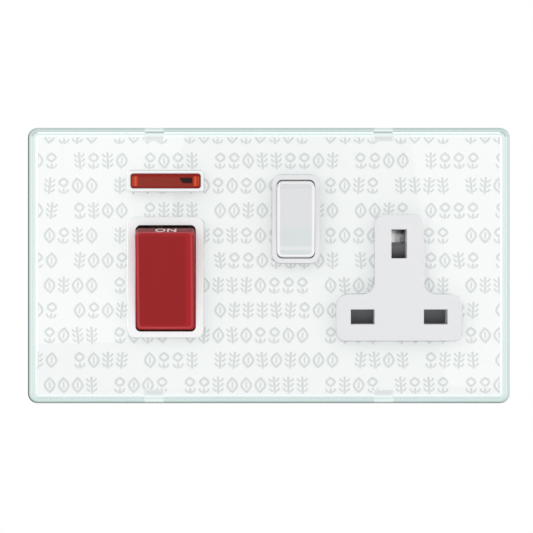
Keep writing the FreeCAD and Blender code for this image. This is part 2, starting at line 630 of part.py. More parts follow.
def make_rocker(switch, poles):
    half = switch.half_width
    body = rocker_shell(switch, 0)
    # round the pressing face's top and bottom first, then both sides along the whole profile
    ends = [e for e in edges_at(body, -switch.face) if abs(e.Vertexes[0].X - e.Vertexes[-1].X) > half]
    body = body.makeFillet(switch.corner, ends)
    sides = [e for e in body.Edges if abs(abs(e.BoundBox.Center.x) - half) < 1e-6 and e.BoundBox.XLength < 1e-6
             and e.BoundBox.YMin < switch.back - 1e-6]
    body = body.makeChamfer(switch.edge, sides)
    body = body.cut(rocker_shell(switch, ROCKER_WALL))
    inner_face = -switch.face + ROCKER_WALL
    web = block(-half + ROCKER_WALL, half - ROCKER_WALL, inner_face, switch.tube_end / 2,
                -ROCKER_WALL / 2, ROCKER_WALL / 2)
    stems = [block(x - switch.stem, x + switch.stem, inner_face, switch.tube_end, -switch.stem, switch.stem)
             for x in poles]
    trunnions = []
    for side in (-1, 1):
        start = (side * (half - ROCKER_WALL), 0, 0)
        trunnions.append(cylinder(switch.trunnion, start, ALONG_X * side, ROCKER_WALL + switch.trunnion_length))
    body = fused([body, web] + stems + trunnions)
    bores = [cylinder(switch.plunger_radius + PLUNGER_FIT, (x, switch.spring_back, 0), ALONG_Y,
                      switch.tube_end - switch.spring_back) for x in poles]
    return switch.place(cut_all(body, bores))


def plunger_back(switch):
    """Where the plunger's inner end is in its tube."""
    return switch.tube_end / 2


def make_plunger(switch, pole):
    """A pin that slides in the rocker's stem."""
    back = plunger_back(switch)
    return switch.place(cylinder(switch.plunger_radius, (pole, back, 0), ALONG_Y, switch.tip - back))


def make_plunger_spring(switch, pole):
    length = plunger_back(switch) - switch.spring_back
    spring = coil(switch.plunger_radius - SPRING_WIRE, length, 3)
    spring.translate(V(pole, switch.spring_back, 0))
    return switch.place(spring)


def make_seesaw(switch, pole):
    """The moving contact: a strip bent to a shallow V that rocks on its back corner, with a tip at its top."""
    slope, depth = math.tan(switch.wing), switch.strip / math.cos(switch.wing)
    rise = switch.arm * slope
    half = switch.width / 2
    strip = side_prism([(0, 0), (-rise, switch.arm), (-depth - rise, switch.arm), (-depth, 0),
                        (-depth - rise, -switch.arm), (-rise, -switch.arm)], -half, half)
    tip = block(-switch.button, switch.button, 0, switch.button_height, -switch.button, switch.button)
    tip.rotate(V(0, 0, 0), ALONG_X, math.degrees(switch.wing))
    along = switch.arm - switch.button
    tip.translate(V(0, -along * slope, along))
    body = fused([strip, tip])
    body.rotate(V(0, 0, 0), ALONG_X, -switch.tilt)
    body.translate(V(switch.x + pole, switch.fulcrum_y, switch.z))
    return body


def fixed_tip(switch, x):
    """The fixed contact's tip, standing forward of its strip."""
    z, back = switch.moving_face()[1], switch.tab_front()
    return block(x - switch.button, x + switch.button, back - switch.button_height, back, z - switch.button,
                 z + switch.button)


def fulcrum(switch, x):
    """The ridge that a see-saw rocks on, from its strip forward to the see-saw's back corner."""
    half, front, back = switch.width / 2, switch.fulcrum_y + FULCRUM_GAP, switch.tab_front()
    return side_prism([(front, switch.z), (back, switch.z + switch.strip), (back, switch.z - switch.strip)],
                      x - half, x + half)


# Terminals

def terminal_block(x, side, width, bores, radius):
    """A brass block against the housing's top (side 1) or bottom (side -1) wall, and what is bored out of it for
    the cables and for the clamp screws."""
    z0, z1 = sorted((side * BLOCK_START_Z, side * BLOCK_END_Z))
    body = block(x - width / 2, x + width / 2, BLOCK_FRONT, BLOCK_BACK, z0, z1)
    middle = (z0 + z1) / 2
    cuts = [cylinder(radius, (bore, BORE_Y, z0), ALONG_Z, z1 - z0) for bore in bores]
    cuts += [cylinder(BLOCK_SCREW_RADIUS + FULCRUM_GAP, (bore, BORE_Y, middle), ALONG_Y, BLOCK_BACK - BORE_Y)
             for bore in bores]
    return body, cuts


def clamp_screws(side, bores, radius):
    """Clamp screws, backed off so that each bore is clear for its cable."""
    start = BORE_Y + radius + FULCRUM_GAP
    end = BLOCK_BACK + BLOCK_SCREW_STAND
    middle = side * (BLOCK_START_Z + BLOCK_END_Z) / 2
    return [cylinder(BLOCK_SCREW_RADIUS, (bore, start, middle), ALONG_Y, end - start) for bore in bores]


def block_x(pole_side):
    return COOKER_X + pole_side * BLOCK_OFFSET


def make_supply_terminal(pole_side):
    """The upper terminal of one pole, with the fixed contact on its tab."""
    body, cuts = terminal_block(block_x(pole_side), 1, BLOCK_WIDTH, [block_x(pole_side)], BLOCK_BORE_RADIUS)
    pole = COOKER_X + pole_side * POLE_OFFSET
    half, front = COOKER.width / 2, COOKER.tab_front()
    tab = block(pole - half, pole + half, front, front + TAB_THICK,
                COOKER.moving_face()[1] - COOKER.button, BLOCK_START_Z + BLOCK_BORE_WALL)
    return cut_all(fused([body, tab, fixed_tip(COOKER, pole)]), cuts)


def make_load_terminal(pole_side):
    """The lower terminal of one pole, with the ridge that the see-saw rocks on."""
    body, cuts = terminal_block(block_x(pole_side), -1, BLOCK_WIDTH, [block_x(pole_side)], BLOCK_BORE_RADIUS)
    pole = COOKER_X + pole_side * POLE_OFFSET
    half, front = COOKER.width / 2, COOKER.tab_front()
    tab = block(pole - half, pole + half, front, front + TAB_THICK,
                -BLOCK_START_Z - BLOCK_BORE_WALL, COOKER.z + COOKER.strip)
    return cut_all(fused([body, tab, fulcrum(COOKER, pole)]), cuts)


def earth_bores():
    return [SOCKET_X - EARTH_BORE_PITCH / 2, SOCKET_X + EARTH_BORE_PITCH / 2]


def make_earth_terminal():
    body, cuts = terminal_block(SOCKET_X, 1, EARTH_BLOCK_WIDTH, earth_bores(), EARTH_BORE_RADIUS)
    return cut_all(body, cuts)


def make_cooker_terminal_screws():
    screws = []
    for side in (-1, 1):
        for pole_side in (-1, 1):
            screws += clamp_screws(side, [block_x(pole_side)], BLOCK_BORE_RADIUS)
    return Part.makeCompound(screws)


def make_earth_terminal_screws():
    return Part.makeCompound(clamp_screws(1, earth_bores(), EARTH_BORE_RADIUS))


# Links and pin contacts

def make_line_link():
    """Strip from the upper line terminal to the socket switch, which carries its fixed contact."""
    z0 = SOCKET.moving_face()[1] - SOCKET.button
    strip = block(block_x(1) - BLOCK_WIDTH / 2, SOCKET.x + SOCKET.width / 2, LINK_FRONT, BLOCK_FRONT,
                  z0, z0 + LINK_HEIGHT)
    return fused([strip, fixed_tip(SOCKET, SOCKET.x)])


def make_neutral_link():
    """Strip from the upper neutral terminal, stepped forward over the line link, and down to the neutral pin."""
    top = BLOCK_END_Z - SCREW_GAP
    bottom = top - NEUTRAL_LINK_HEIGHT
    foot_x = block_x(-1) + BLOCK_WIDTH / 2
    front, back = NEUTRAL_LINK_FRONT, NEUTRAL_LINK_FRONT + TAB_THICK
    drop0, drop1 = NEUTRAL_DROP_X - NEUTRAL_LINK_WIDTH / 2, NEUTRAL_DROP_X + NEUTRAL_LINK_WIDTH / 2
    foot = block(foot_x - BLOCK_WIDTH, foot_x, LINK_FRONT, BLOCK_FRONT, bottom, top)
    step = block(foot_x - TAB_THICK, foot_x, front, BLOCK_FRONT, bottom, top)
    run = block(foot_x - TAB_THICK, drop1, front, back, bottom, top)
    drop = block(drop0, drop1, front, back, PIN_ROW_Z - NEUTRAL_LINK_WIDTH / 2, top)
    return fused([foot, step, run, drop])


def leaf_outline(front, base, side):
    """Half of a pin clip, in depth and distance from the pin's centre: a leaf that narrows to the throat and
    flares at the mouth."""
    throat, mouth = CLIP_THROAT / 2, CLIP_MOUTH / 2
    bend = front + (base - front) / 3
    inner = [(front, mouth), (bend, throat), (base, mouth)]
    outer = [(y, d + CLIP_LEAF) for y, d in reversed(inner)]
    return [(y, side * d) for y, d in inner + outer]


def pin_clip(x, front, base):
    """A clip that grips a current-carrying pin from above and below."""
    half = PIN_CLIP_WIDTH / 2
    leaves = []
    for side in (-1, 1):
        leaf = side_prism(leaf_outline(front, base, side), x - half, x + half)
        leaf.translate(V(0, 0, PIN_ROW_Z))
        leaves.append(leaf)
    reach = CLIP_MOUTH / 2 + CLIP_LEAF
    web = block(x - half, x + half, base - CLIP_LEAF, base + TAB_THICK, PIN_ROW_Z - reach, PIN_ROW_Z + reach)
    return leaves + [web]


def make_neutral_contact():
    """The neutral pin's clip, with a tail that lies against the neutral link."""
    tail = block(NEUTRAL_DROP_X - NEUTRAL_LINK_WIDTH / 2, NEUTRAL_PIN_X, PIN_CLIP_BASE, PIN_CLIP_BASE + TAB_THICK,
                 PIN_ROW_Z - NEUTRAL_LINK_WIDTH / 2, PIN_ROW_Z + NEUTRAL_LINK_WIDTH / 2)
    return fused(pin_clip(NEUTRAL_PIN_X, PIN_CLIP_FRONT, PIN_CLIP_BASE) + [tail])


def make_line_contact():
    """The line pin's clip on a long strip from the socket switch, with the ridge that the see-saw rocks on."""
    half = SOCKET.width / 2
    run0, run1 = LINE_RUN_Z - LINE_RUN_HEIGHT / 2, LINE_RUN_Z + LINE_RUN_HEIGHT / 2
    drop = block(SOCKET.x - half, SOCKET.x + half, LINK_FRONT, BLOCK_FRONT, run0, SOCKET.z + SOCKET.strip)
    run = block(SOCKET.x - half, LINE_PIN_X + PIN_CLIP_WIDTH / 2, LINK_FRONT, BLOCK_FRONT, run0, run1)
    rise = block(LINE_PIN_X - PIN_CLIP_WIDTH / 2, LINE_PIN_X + PIN_CLIP_WIDTH / 2, LINK_FRONT, BLOCK_FRONT,
                 run0, PIN_ROW_Z)
    return fused([drop, run, rise, fulcrum(SOCKET, SOCKET.x)] + pin_clip(LINE_PIN_X, PIN_CLIP_FRONT, LINK_FRONT))


def make_earth_contact():
    """The earth pin's clip, which grips it from left and right, and its strap up to the earth terminal."""
    half = EARTH_CLIP_WIDTH / 2
    z0, z1 = EARTH_PIN_Z - half, EARTH_PIN_Z + half
    leaves = []
    for side in (-1, 1):
        outline = [(SOCKET_X + d, y) for y, d in leaf_outline(EARTH_CLIP_FRONT, EARTH_CLIP_BASE, side)]
        corners = [V(x, y, z0) for x, y in outline]
        leaves.append(Part.Face(Part.makePolygon(corners + corners[:1])).extrude(V(0, 0, z1 - z0)))
    reach = CLIP_MOUTH / 2 + CLIP_LEAF
    web = block(SOCKET_X - reach, SOCKET_X + reach, EARTH_CLIP_BASE - CLIP_LEAF, EARTH_CLIP_BASE + TAB_THICK, z0, z1)
    strap = block(SOCKET_X - reach, SOCKET_X + reach, EARTH_CLIP_BASE, EARTH_CLIP_BASE + TAB_THICK,
                  z0, BLOCK_START_Z)
    return fused(leaves + [web, strap])


# Shutter

def pin_slot_edges():
    return PIN_ROW_Z + PIN_SLOT[1] / 2, PIN_ROW_Z - PIN_SLOT[1] / 2


def make_shutter():
    """Slides down when the earth pin meets its sloping cam, and uncovers the two lower slots."""
    top, bottom = pin_slot_edges()
    front, back = SHUTTER_FRONT, SHUTTER_FRONT + SHUTTER_THICK
    half = PIN_SPACING / 2 + PIN_SLOT[0] / 2 + SHUTTER_OVERLAP
    stem = SHUTTER_STEM_WIDTH / 2
    bar = block(SOCKET_X - half, SOCKET_X + half, front, back, bottom - SHUTTER_OVERLAP, top + SHUTTER_OVERLAP)
    foot_z = EARTH_PIN_Z - EARTH_SLOT[1] / 2
    column = block(SOCKET_X - stem, SOCKET_X + stem, front, back, PIN_ROW_Z, foot_z)
    cam = side_prism([(front, foot_z - SHUTTER_THICK), (front, foot_z), (front + SHUTTER_CAM_DEPTH,
                      foot_z + SHUTTER_CAM_RISE), (front + SHUTTER_CAM_DEPTH, foot_z)],
                     SOCKET_X - stem, SOCKET_X + stem)
    seat = block(SOCKET_X - stem, SOCKET_X + stem, front, SPRING_AXIS_Y + stem / 2,
                 SPRING_SEAT_Z, SPRING_SEAT_Z + SPRING_SEAT_THICK)
    spigot = cylinder(SPIGOT_RADIUS, (SOCKET_X, SPRING_AXIS_Y, SPRING_SEAT_Z), ALONG_Z * -1, SPIGOT_LENGTH)
    return fused([bar, column, cam, seat, spigot])


def make_shutter_spring():
    length = SPRING_SEAT_Z - SPRING_LEDGE_Z
    spring = coil(SPIGOT_RADIUS + SPRING_WIRE, length, 6)
    spring.rotate(V(0, 0, 0), ALONG_X, 90)
    spring.translate(V(SOCKET_X, SPRING_AXIS_Y, SPRING_LEDGE_Z))
    return spring


# Neon

def lens_box(gap, y0, y1):
    """A square-cornered block round the lens, grown by gap."""
    half_width, half_height = NEON_LENS[0] / 2 + gap, NEON_LENS[1] / 2 + gap
    return block(COOKER_X - half_width, COOKER_X + half_width, y0, y1, NEON_Z - half_height, NEON_Z + half_height)


def make_neon_lens():
    """A hollow red cap pushed in from behind, with a flange at its back."""
    body = plate(COOKER_X, NEON_Z, NEON_LENS, -NEON_LENS_REACH, COVER_THICK, NEON_CORNER)
    flange = lens_box(NEON_FLANGE, COVER_THICK, COVER_THICK + NEON_FLANGE)
    return fused([body, flange]).cut(lens_box(-NEON_LENS_WALL, NEON_LENS_WALL - NEON_LENS_REACH, COVER_THICK
                                              + NEON_FLANGE))


def lamp_y():
    return COVER_THICK + NEON_FLANGE + NEON_LAMP_RADIUS + SCREW_GAP


def lamp_start():
    """Left end of the lamp: lamp and resistor lie end to end, centred under the lens."""
    return COOKER_X - (NEON_LAMP_LENGTH + 2 * RESISTOR_RADIUS + RESISTOR_LENGTH) / 2


def make_neon_lamp():
    """The neon's glass tube."""
    return cylinder(NEON_LAMP_RADIUS, (lamp_start(), lamp_y(), NEON_Z), ALONG_X, NEON_LAMP_LENGTH)


def make_neon_resistor():
    """The series resistor and the lead that joins it to the lamp."""
    start = lamp_start() + NEON_LAMP_LENGTH
    lead = block(start, start + 2 * RESISTOR_RADIUS, lamp_y() - LEAD_HALF, lamp_y() + LEAD_HALF,
                 NEON_Z - LEAD_HALF, NEON_Z + LEAD_HALF)
    body = cylinder(RESISTOR_RADIUS, (start + 2 * RESISTOR_RADIUS, lamp_y(), NEON_Z), ALONG_X, RESISTOR_LENGTH)
    return fused([lead, body])


def neon_cradles():
    """Forked ribs from the housing's top wall that hold the lamp and the resistor behind the lens."""
    top = HOUSING_HEIGHT / 2 - HOUSING_WALL / 2
    ribs = []
    middle = lamp_start() + NEON_LAMP_LENGTH * 0.6
    far = lamp_start() + NEON_LAMP_LENGTH + 2 * RESISTOR_RADIUS + RESISTOR_LENGTH / 2
    for x, radius in ((middle, NEON_LAMP_RADIUS), (far, RESISTOR_RADIUS)):
        rib = block(x - NEON_CRADLE / 2, x + NEON_CRADLE / 2, COVER_THICK + NEON_FLANGE + SCREW_GAP,
                    lamp_y() + NEON_LAMP_RADIUS + NEON_CRADLE, NEON_Z - NEON_LAMP_RADIUS, top)
        fork = block(x - NEON_CRADLE, x + NEON_CRADLE, 0, lamp_y(), NEON_Z - radius - SCREW_GAP,
                     NEON_Z + radius + SCREW_GAP)
        seat = cylinder(radius + FULCRUM_GAP, (x - NEON_CRADLE, lamp_y(), NEON_Z), ALONG_X, 2 * NEON_CRADLE)
        ribs.append(cut_all(rib, [fork, seat]))
    return ribs


# Rear housing

def support(x0, x1, y0, z0, z1):
    """A rib from the housing's back wall to the back of a strip at depth y0."""
    return block(x0, x1, y0, BLOCK_BACK, z0, z1)


def housing_supports():
    """Ribs that carry the strips and clips, and walls that part the poles."""
    ribs = []
    tab_back = COOKER.tab_front() + TAB_THICK
    for side in (-1, 1):
        pole = COOKER_X + side * POLE_OFFSET
        half = COOKER.width / 2
        for z in (COOKER.z, COOKER.moving_face()[1]):
            ribs.append(support(pole - half, pole + half, tab_back, z - COOKER.strip / 2, z + COOKER.strip / 2))
        z0, z1 = sorted((side * BLOCK_END_Z, side * (BLOCK_START_Z - HOUSING_WALL)))
        barrier = HOUSING_WALL / 2
        ribs.append(block(COOKER_X - barrier, COOKER_X + barrier, BLOCK_FRONT, BLOCK_BACK, z0, z1))
    half = SOCKET.width / 2
    for z in (SOCKET.z, SOCKET.moving_face()[1]):
        ribs.append(support(SOCKET.x - half, SOCKET.x + half, BLOCK_FRONT, z - SOCKET.strip / 2,
                            z + SOCKET.strip / 2))
    half = PIN_CLIP_WIDTH / 2
    rise = HOUSING_WALL / 2
    ribs.append(support(NEUTRAL_PIN_X - half, NEUTRAL_PIN_X + half, PIN_CLIP_BASE + TAB_THICK,
                        PIN_ROW_Z - rise, PIN_ROW_Z + rise))
    ribs.append(support(LINE_PIN_X - half, LINE_PIN_X + half, BLOCK_FRONT, PIN_ROW_Z - rise, PIN_ROW_Z + rise))
    ribs.append(support(SOCKET_X - half, SOCKET_X + half, EARTH_CLIP_BASE + TAB_THICK,
                        EARTH_PIN_Z - rise, EARTH_PIN_Z + rise))
    return ribs + [spring_ledge()]


def spring_ledge():
    """A shelf from the back wall under the shutter's spring, with a spigot inside the spring."""
    half = SHUTTER_STEM_WIDTH / 2
    shelf = block(SOCKET_X - half, SOCKET_X + half, SPRING_AXIS_Y - half / 2, BLOCK_BACK,
                  SPRING_LEDGE_Z - SPRING_LEDGE_THICK, SPRING_LEDGE_Z)
    spigot = cylinder(SPIGOT_RADIUS, (SOCKET_X, SPRING_AXIS_Y, SPRING_LEDGE_Z), ALONG_Z, SPIGOT_LENGTH)
    return shelf.fuse(spigot)


def block_pockets():
    """Openings in the back wall over the clamp screws and in the end walls over the cable bores."""
    cuts = []
    for side in (-1, 1):
        rows = [([block_x(-1)], BLOCK_BORE_RADIUS), ([block_x(1)], BLOCK_BORE_RADIUS)]
        if side > 0:
            rows.append((earth_bores(), EARTH_BORE_RADIUS))
        for bores, radius in rows:
            half = radius + CABLE_ENTRY_GAP
            x0, x1 = bores[0] - half, bores[-1] + half
            z0, z1 = sorted((side * BLOCK_END_Z, side * HOUSING_HEIGHT / 2))
            cuts.append(block(x0, x1, BORE_Y - half, BORE_Y + half, z0, z1))
            middle, reach = side * (BLOCK_START_Z + BLOCK_END_Z) / 2, BLOCK_SCREW_RADIUS + CABLE_ENTRY_GAP
            cuts.append(block(x0, x1, BLOCK_BACK, HOUSING_BACK, middle - reach, middle + reach))
    return cuts


def make_rear_housing():
    outer = plate(0, 0, (HOUSING_WIDTH, HOUSING_HEIGHT), COVER_THICK, HOUSING_BACK, HOUSING_CORNER)
    outer = cut_all(outer, lug_notches(COVER_THICK, HOUSING_BACK))
    half_width, half_height = HOUSING_WIDTH / 2 - HOUSING_WALL, HOUSING_HEIGHT / 2 - HOUSING_WALL
    inner = block(-half_width, half_width, COVER_THICK, BLOCK_BACK, -half_height, half_height)
    inner = cut_all(inner, lug_notches(COVER_THICK, BLOCK_BACK, HOUSING_WALL))
    body = fused([outer.cut(inner)] + housing_nibs() + housing_supports() + neon_cradles())
    z, y = strap_path()
    strap_slot = block(STRAP_X - SCREW_GAP, STRAP_X + STRAP_WIDTH + SCREW_GAP, y - SCREW_GAP, BLOCK_FRONT + SCREW_GAP,
                       BLOCK_END_Z, z)
    return cut_all(body, block_pockets() + [strap_slot])


def make_parts():
    """Every piece by its name."""
    poles = [-POLE_OFFSET, POLE_OFFSET]
    parts = {
        "front_plate": make_front_plate(),
        "wallpaper_insert": make_wallpaper_insert(),
        "support_frame": make_support_frame(),
        "box_screws": make_box_screws(),
        "frame_earth_strap": make_frame_earth_strap(),
        "switch_cover": make_switch_cover(),
        "socket_cover": make_socket_cover(),
        "rear_housing": make_rear_housing(),
        "cooker_rocker": make_rocker(COOKER, poles),
        "socket_rocker": make_rocker(SOCKET, [0]),
        "socket_plunger": make_plunger(SOCKET, 0),
        "socket_plunger_spring": make_plunger_spring(SOCKET, 0),
        "socket_seesaw": make_seesaw(SOCKET, 0),
        "line_link": make_line_link(),
        "neutral_link": make_neutral_link(),
        "line_pin_contact": make_line_contact(),
        "neutral_pin_contact": make_neutral_contact(),
        "earth_pin_contact": make_earth_contact(),
        "earth_terminal": make_earth_terminal(),
        "earth_terminal_screws": make_earth_terminal_screws(),
        "cooker_terminal_screws": make_cooker_terminal_screws(),
        "shutter": make_shutter(),
        "shutter_spring": make_shutter_spring(),
        "neon_lens": make_neon_lens(),
        "neon_lamp": make_neon_lamp(),
        "neon_resistor": make_neon_resistor(),
    }
    for side, pole_name in ((-1, "neutral"), (1, "line")):
        pole = side * POLE_OFFSET
        parts["supply_" + pole_name + "_terminal"] = make_supply_terminal(side)
        parts["load_" + pole_name + "_terminal"] = make_load_terminal(side)
        parts["cooker_" + pole_name + "_plunger"] = make_plunger(COOKER, pole)
        parts["cooker_" + pole_name + "_spring"] = make_plunger_spring(COOKER, pole)
        parts["cooker_" + pole_name + "_seesaw"] = make_seesaw(COOKER, pole)
    return parts


os.makedirs("parts", exist_ok=True)
for name, shape in make_parts().items():
    shape.exportStep(os.path.join("parts", name + ".step"))
    print(name, len(shape.Solids), "solid", round(shape.Volume, 1), "mm3", "valid" if shape.isValid() else "INVALID")
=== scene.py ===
# %% [markdown]
# # Dressing a cooker control unit
# The unit is a double wall plate: a red double-pole rocker with its neon on the left, and a switched
# three-pin socket on the right. A clear bevelled plate holds a printed paper insert, and everything
# electrical stands behind it. The CAD model already has the right shapes and moves at its joints, so it is
# loaded first and stays as it is. This lesson gives every piece its finish, and swaps in finer pieces where
# the real object has more than the CAD shows.

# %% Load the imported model
import math

import bmesh
import bpy
from mathutils import Matrix, Vector


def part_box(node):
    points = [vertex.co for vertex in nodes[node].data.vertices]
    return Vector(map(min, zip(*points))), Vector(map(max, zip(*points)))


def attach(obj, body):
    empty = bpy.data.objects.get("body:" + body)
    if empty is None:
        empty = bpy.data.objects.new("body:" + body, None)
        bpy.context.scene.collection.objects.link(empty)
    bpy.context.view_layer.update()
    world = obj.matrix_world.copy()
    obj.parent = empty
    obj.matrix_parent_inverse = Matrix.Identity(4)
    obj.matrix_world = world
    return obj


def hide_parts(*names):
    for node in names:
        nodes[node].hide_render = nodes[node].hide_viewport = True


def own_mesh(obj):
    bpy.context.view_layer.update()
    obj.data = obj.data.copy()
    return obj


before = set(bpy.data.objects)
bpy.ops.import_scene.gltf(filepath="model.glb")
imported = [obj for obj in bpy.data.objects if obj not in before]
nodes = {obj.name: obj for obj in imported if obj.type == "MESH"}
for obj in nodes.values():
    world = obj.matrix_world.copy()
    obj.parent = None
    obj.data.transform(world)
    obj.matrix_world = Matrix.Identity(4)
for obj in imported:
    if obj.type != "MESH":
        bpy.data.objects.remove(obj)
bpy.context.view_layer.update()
MM = 0.001
TO_MM = 1000.0


# %% [markdown]
# ## Where the camera stands
# The photograph looks straight at the plate. A long lens far away keeps the plate's edges parallel, as they
# are there. The plate sits a touch right of and above the middle of the picture, which a small lens shift
# gives without turning the camera.

# %% Camera
def in_scene(name, data):
    """A new object in the scene."""
    made = bpy.data.objects.new(name, data)
    bpy.context.scene.collection.objects.link(made)
    return made


CAMERA_DISTANCE = 0.4501
lens = bpy.data.cameras.new("camera")
lens.lens = 100
lens.sensor_width = 36
lens.shift_x = -0.0044
lens.shift_y = -0.0018
camera = in_scene("camera", lens)
camera.location = (0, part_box("front_plate")[0].y - CAMERA_DISTANCE, 0)
camera.rotation_euler = (math.radians(90), 0, 0)
bpy.context.scene.camera = camera
bpy.context.scene.view_settings.view_transform = "Standard"
print("camera", round(camera.location.y, 4), "m in front of the wall")

# %% [markdown]
# ## Small helpers for node trees
# Materials and Geometry Nodes are both trees of nodes joined by links. A few short helpers keep each later
# cell to the lines that matter: one adds a node with its settings, one feeds an input with a link or a value,
# one does a step of arithmetic, and one takes a single number out of a vector.


# %% Node helpers
def add(tree, kind, **settings):
    made = tree.nodes.new(kind)
    for name, value in settings.items():
        setattr(made, name, value)
    return made


def feed(tree, socket, value):
    if isinstance(value, bpy.types.NodeSocket):
        tree.links.new(value, socket)
    else:
        socket.default_value = value


def math_step(tree, operation, *values, clamp=False):
    step = add(tree, "ShaderNodeMath", operation=operation, use_clamp=clamp)
    for socket, value in zip(step.inputs, values):
        feed(tree, socket, value)
    return step.outputs[0]


def part_of(tree, vector, axis):
    split = add(tree, "ShaderNodeSeparateXYZ")
    tree.links.new(vector, split.inputs[0])
    return split.outputs[axis]


# %% [markdown]
# ## Light that shows colours as they are
# A product photograph like this one has white paper all round and large soft lamps. The world gives most of
# the light. Two wide lamps in front, the left one stronger, draw the soft shadows beside the raised rockers,
# and a third lights the back. Camera, mirror and glass rays see the world at full white, so the clear plate
# and the metal show a white room, while surfaces get less than that and don't wash out.

# %% World and lamps
SURFACE_LIGHT = 0.70
world = bpy.data.worlds.new("white room")
bpy.context.scene.world = world
world.use_nodes = True
tree = world.node_tree
tree.nodes.clear()
rays = add(tree, "ShaderNodeLightPath")
seen = math_step(tree, "MAXIMUM", rays.outputs["Is Camera Ray"], rays.outputs["Is Glossy Ray"])
seen = math_step(tree, "MAXIMUM", seen, rays.outputs["Is Transmission Ray"])
room = add(tree, "ShaderNodeBackground")
feed(tree, room.inputs["Color"], (1, 1, 1, 1))
feed(tree, room.inputs["Strength"], math_step(tree, "MULTIPLY_ADD", seen, 1.0 - SURFACE_LIGHT, SURFACE_LIGHT))
tree.links.new(room.outputs[0], add(tree, "ShaderNodeOutputWorld").inputs["Surface"])


def soft_lamp(name, place, size, power):
    """A square lamp that looks at the unit's middle."""
    light = bpy.data.lights.new(name, "AREA")
    light.size = size
    light.energy = power
    lamp = in_scene(name, light)
    lamp.location = place
    lamp.rotation_euler = Vector(place).to_track_quat("Z", "Y").to_euler()


soft_lamp("left lamp", (-0.44, -0.78, 0.34), 0.9, 1.6)
soft_lamp("right lamp", (0.50, -0.80, 0.30), 0.9, 1.3)
soft_lamp("back lamp", (0.1, 0.8, 0.6), 0.8, 2.6)
print(len(bpy.data.lights), "lamps")

# %% [markdown]
# ## The floor
# The unit belongs on a wall, so nothing touches the floor. It is a plain pale sheet well below the picture,
# there to catch the light in the views from above.

# %% Floor
FLOOR_Z, FLOOR_SIDE, FLOOR_FRONT, FLOOR_BACK = -0.2, 1.2, -0.9, 0.6
floor_corners = [(-FLOOR_SIDE, FLOOR_FRONT, FLOOR_Z), (FLOOR_SIDE, FLOOR_FRONT, FLOOR_Z),
                 (FLOOR_SIDE, FLOOR_BACK, FLOOR_Z), (-FLOOR_SIDE, FLOOR_BACK, FLOOR_Z)]
sheet = bpy.data.meshes.new("floor")
sheet.from_pydata(floor_corners, [], [(0, 1, 2, 3)])
floor = in_scene("floor", sheet)
floor_paint = bpy.data.materials.new("floor paint")
floor_paint.use_nodes = True
paint = floor_paint.node_tree.nodes["Principled BSDF"]
paint.inputs["Base Color"].default_value = (0.95, 0.95, 0.95, 1)
paint.inputs["Roughness"].default_value = 0.8
sheet.materials.append(floor_paint)
print("floor at", FLOOR_Z)

# %% [markdown]
# ## A mask that follows the plate's outline
# Several finishes change near an edge: the plate's rim looks green, its outermost line looks dark, and each
# rocker has a brighter border. All of them need one number, the distance from a rounded rectangle. An image
# could be painted for each, but a distance worked out from the Object coordinates is sharp at any size and
# never slides. The group gives the distance in millimetres, negative inside.


# %% Shared groups
def shader_group(name, inputs, outputs):
    """A new group with its named sockets, and the two nodes at its ends."""
    group = bpy.data.node_groups.new(name, "ShaderNodeTree")
    for label, kind, value in inputs:
        socket = group.interface.new_socket(label, in_out="INPUT", socket_type=kind)
        if value is not None:
            socket.default_value = value
    for label, kind in outputs:
        group.interface.new_socket(label, in_out="OUTPUT", socket_type=kind)
    return group, add(group, "NodeGroupInput"), add(group, "NodeGroupOutput")


def put_out(group, result, **sources):
    for name, source in sources.items():
        group.links.new(source, result.inputs[name])


# %% Rounded rectangle distance, a shared group
FLOAT, COLOUR, VECTOR = "NodeSocketFloat", "NodeSocketColor", "NodeSocketVector"
outline_group, given, result = shader_group(
    "rounded outline", [("Vector", VECTOR, None), ("Centre X", FLOAT, 0.0), ("Centre Z", FLOAT, 0.0),
                        ("Half Width", FLOAT, 10.0), ("Half Height", FLOAT, 10.0), ("Corner", FLOAT, 1.0)],
    [("Distance", FLOAT)])
overs = []
for axis, centre, half in (("X", "Centre X", "Half Width"), ("Z", "Centre Z", "Half Height")):
    spot = part_of(outline_group, given.outputs["Vector"], axis)
    in_mm = math_step(outline_group, "MULTIPLY", spot, TO_MM)
    offset = math_step(outline_group, "SUBTRACT", in_mm, given.outputs[centre])
    flat = math_step(outline_group, "SUBTRACT", given.outputs[half], given.outputs["Corner"])
    away = math_step(outline_group, "ABSOLUTE", offset)
    overs.append(math_step(outline_group, "SUBTRACT", away, flat))
outside = [math_step(outline_group, "MAXIMUM", over, 0.0) for over in overs]
squares = [math_step(outline_group, "MULTIPLY", over, over) for over in outside]
round_part = math_step(outline_group, "SQRT", math_step(outline_group, "ADD", *squares))
inner_part = math_step(outline_group, "MINIMUM", math_step(outline_group, "MAXIMUM", *overs), 0.0)
total = math_step(outline_group, "ADD", round_part, inner_part)
put_out(outline_group, result, Distance=math_step(outline_group, "SUBTRACT", total, given.outputs["Corner"]))
print(outline_group.name, "has", len(outline_group.nodes), "nodes")

# %% [markdown]
# ## Moulded plastic
# The covers, rockers, shutter and lens are all injection mouldings. Such a surface is smooth, but not
# perfect: it has a very fine texture from the mould, its colour drifts a little across the piece, and its
# edges are softly rounded. The rounding is a Bevel node here rather than real geometry, because it only has
# to catch light. The group puts out colour, roughness and normal, and the shader itself stays in each
# material. The four helpers under it serve the metal and the paper further down too.


# %% Noise, gloss, bump and soft edges
def noise(tree, vector, scale, detail=2.0):
    """Clouds that get finer as the scale grows."""
    clouds = add(tree, "ShaderNodeTexNoise")
    clouds.inputs["Scale"].default_value = scale
    clouds.inputs["Detail"].default_value = detail
    tree.links.new(vector, clouds.inputs["Vector"])
    return clouds.outputs["Fac"]


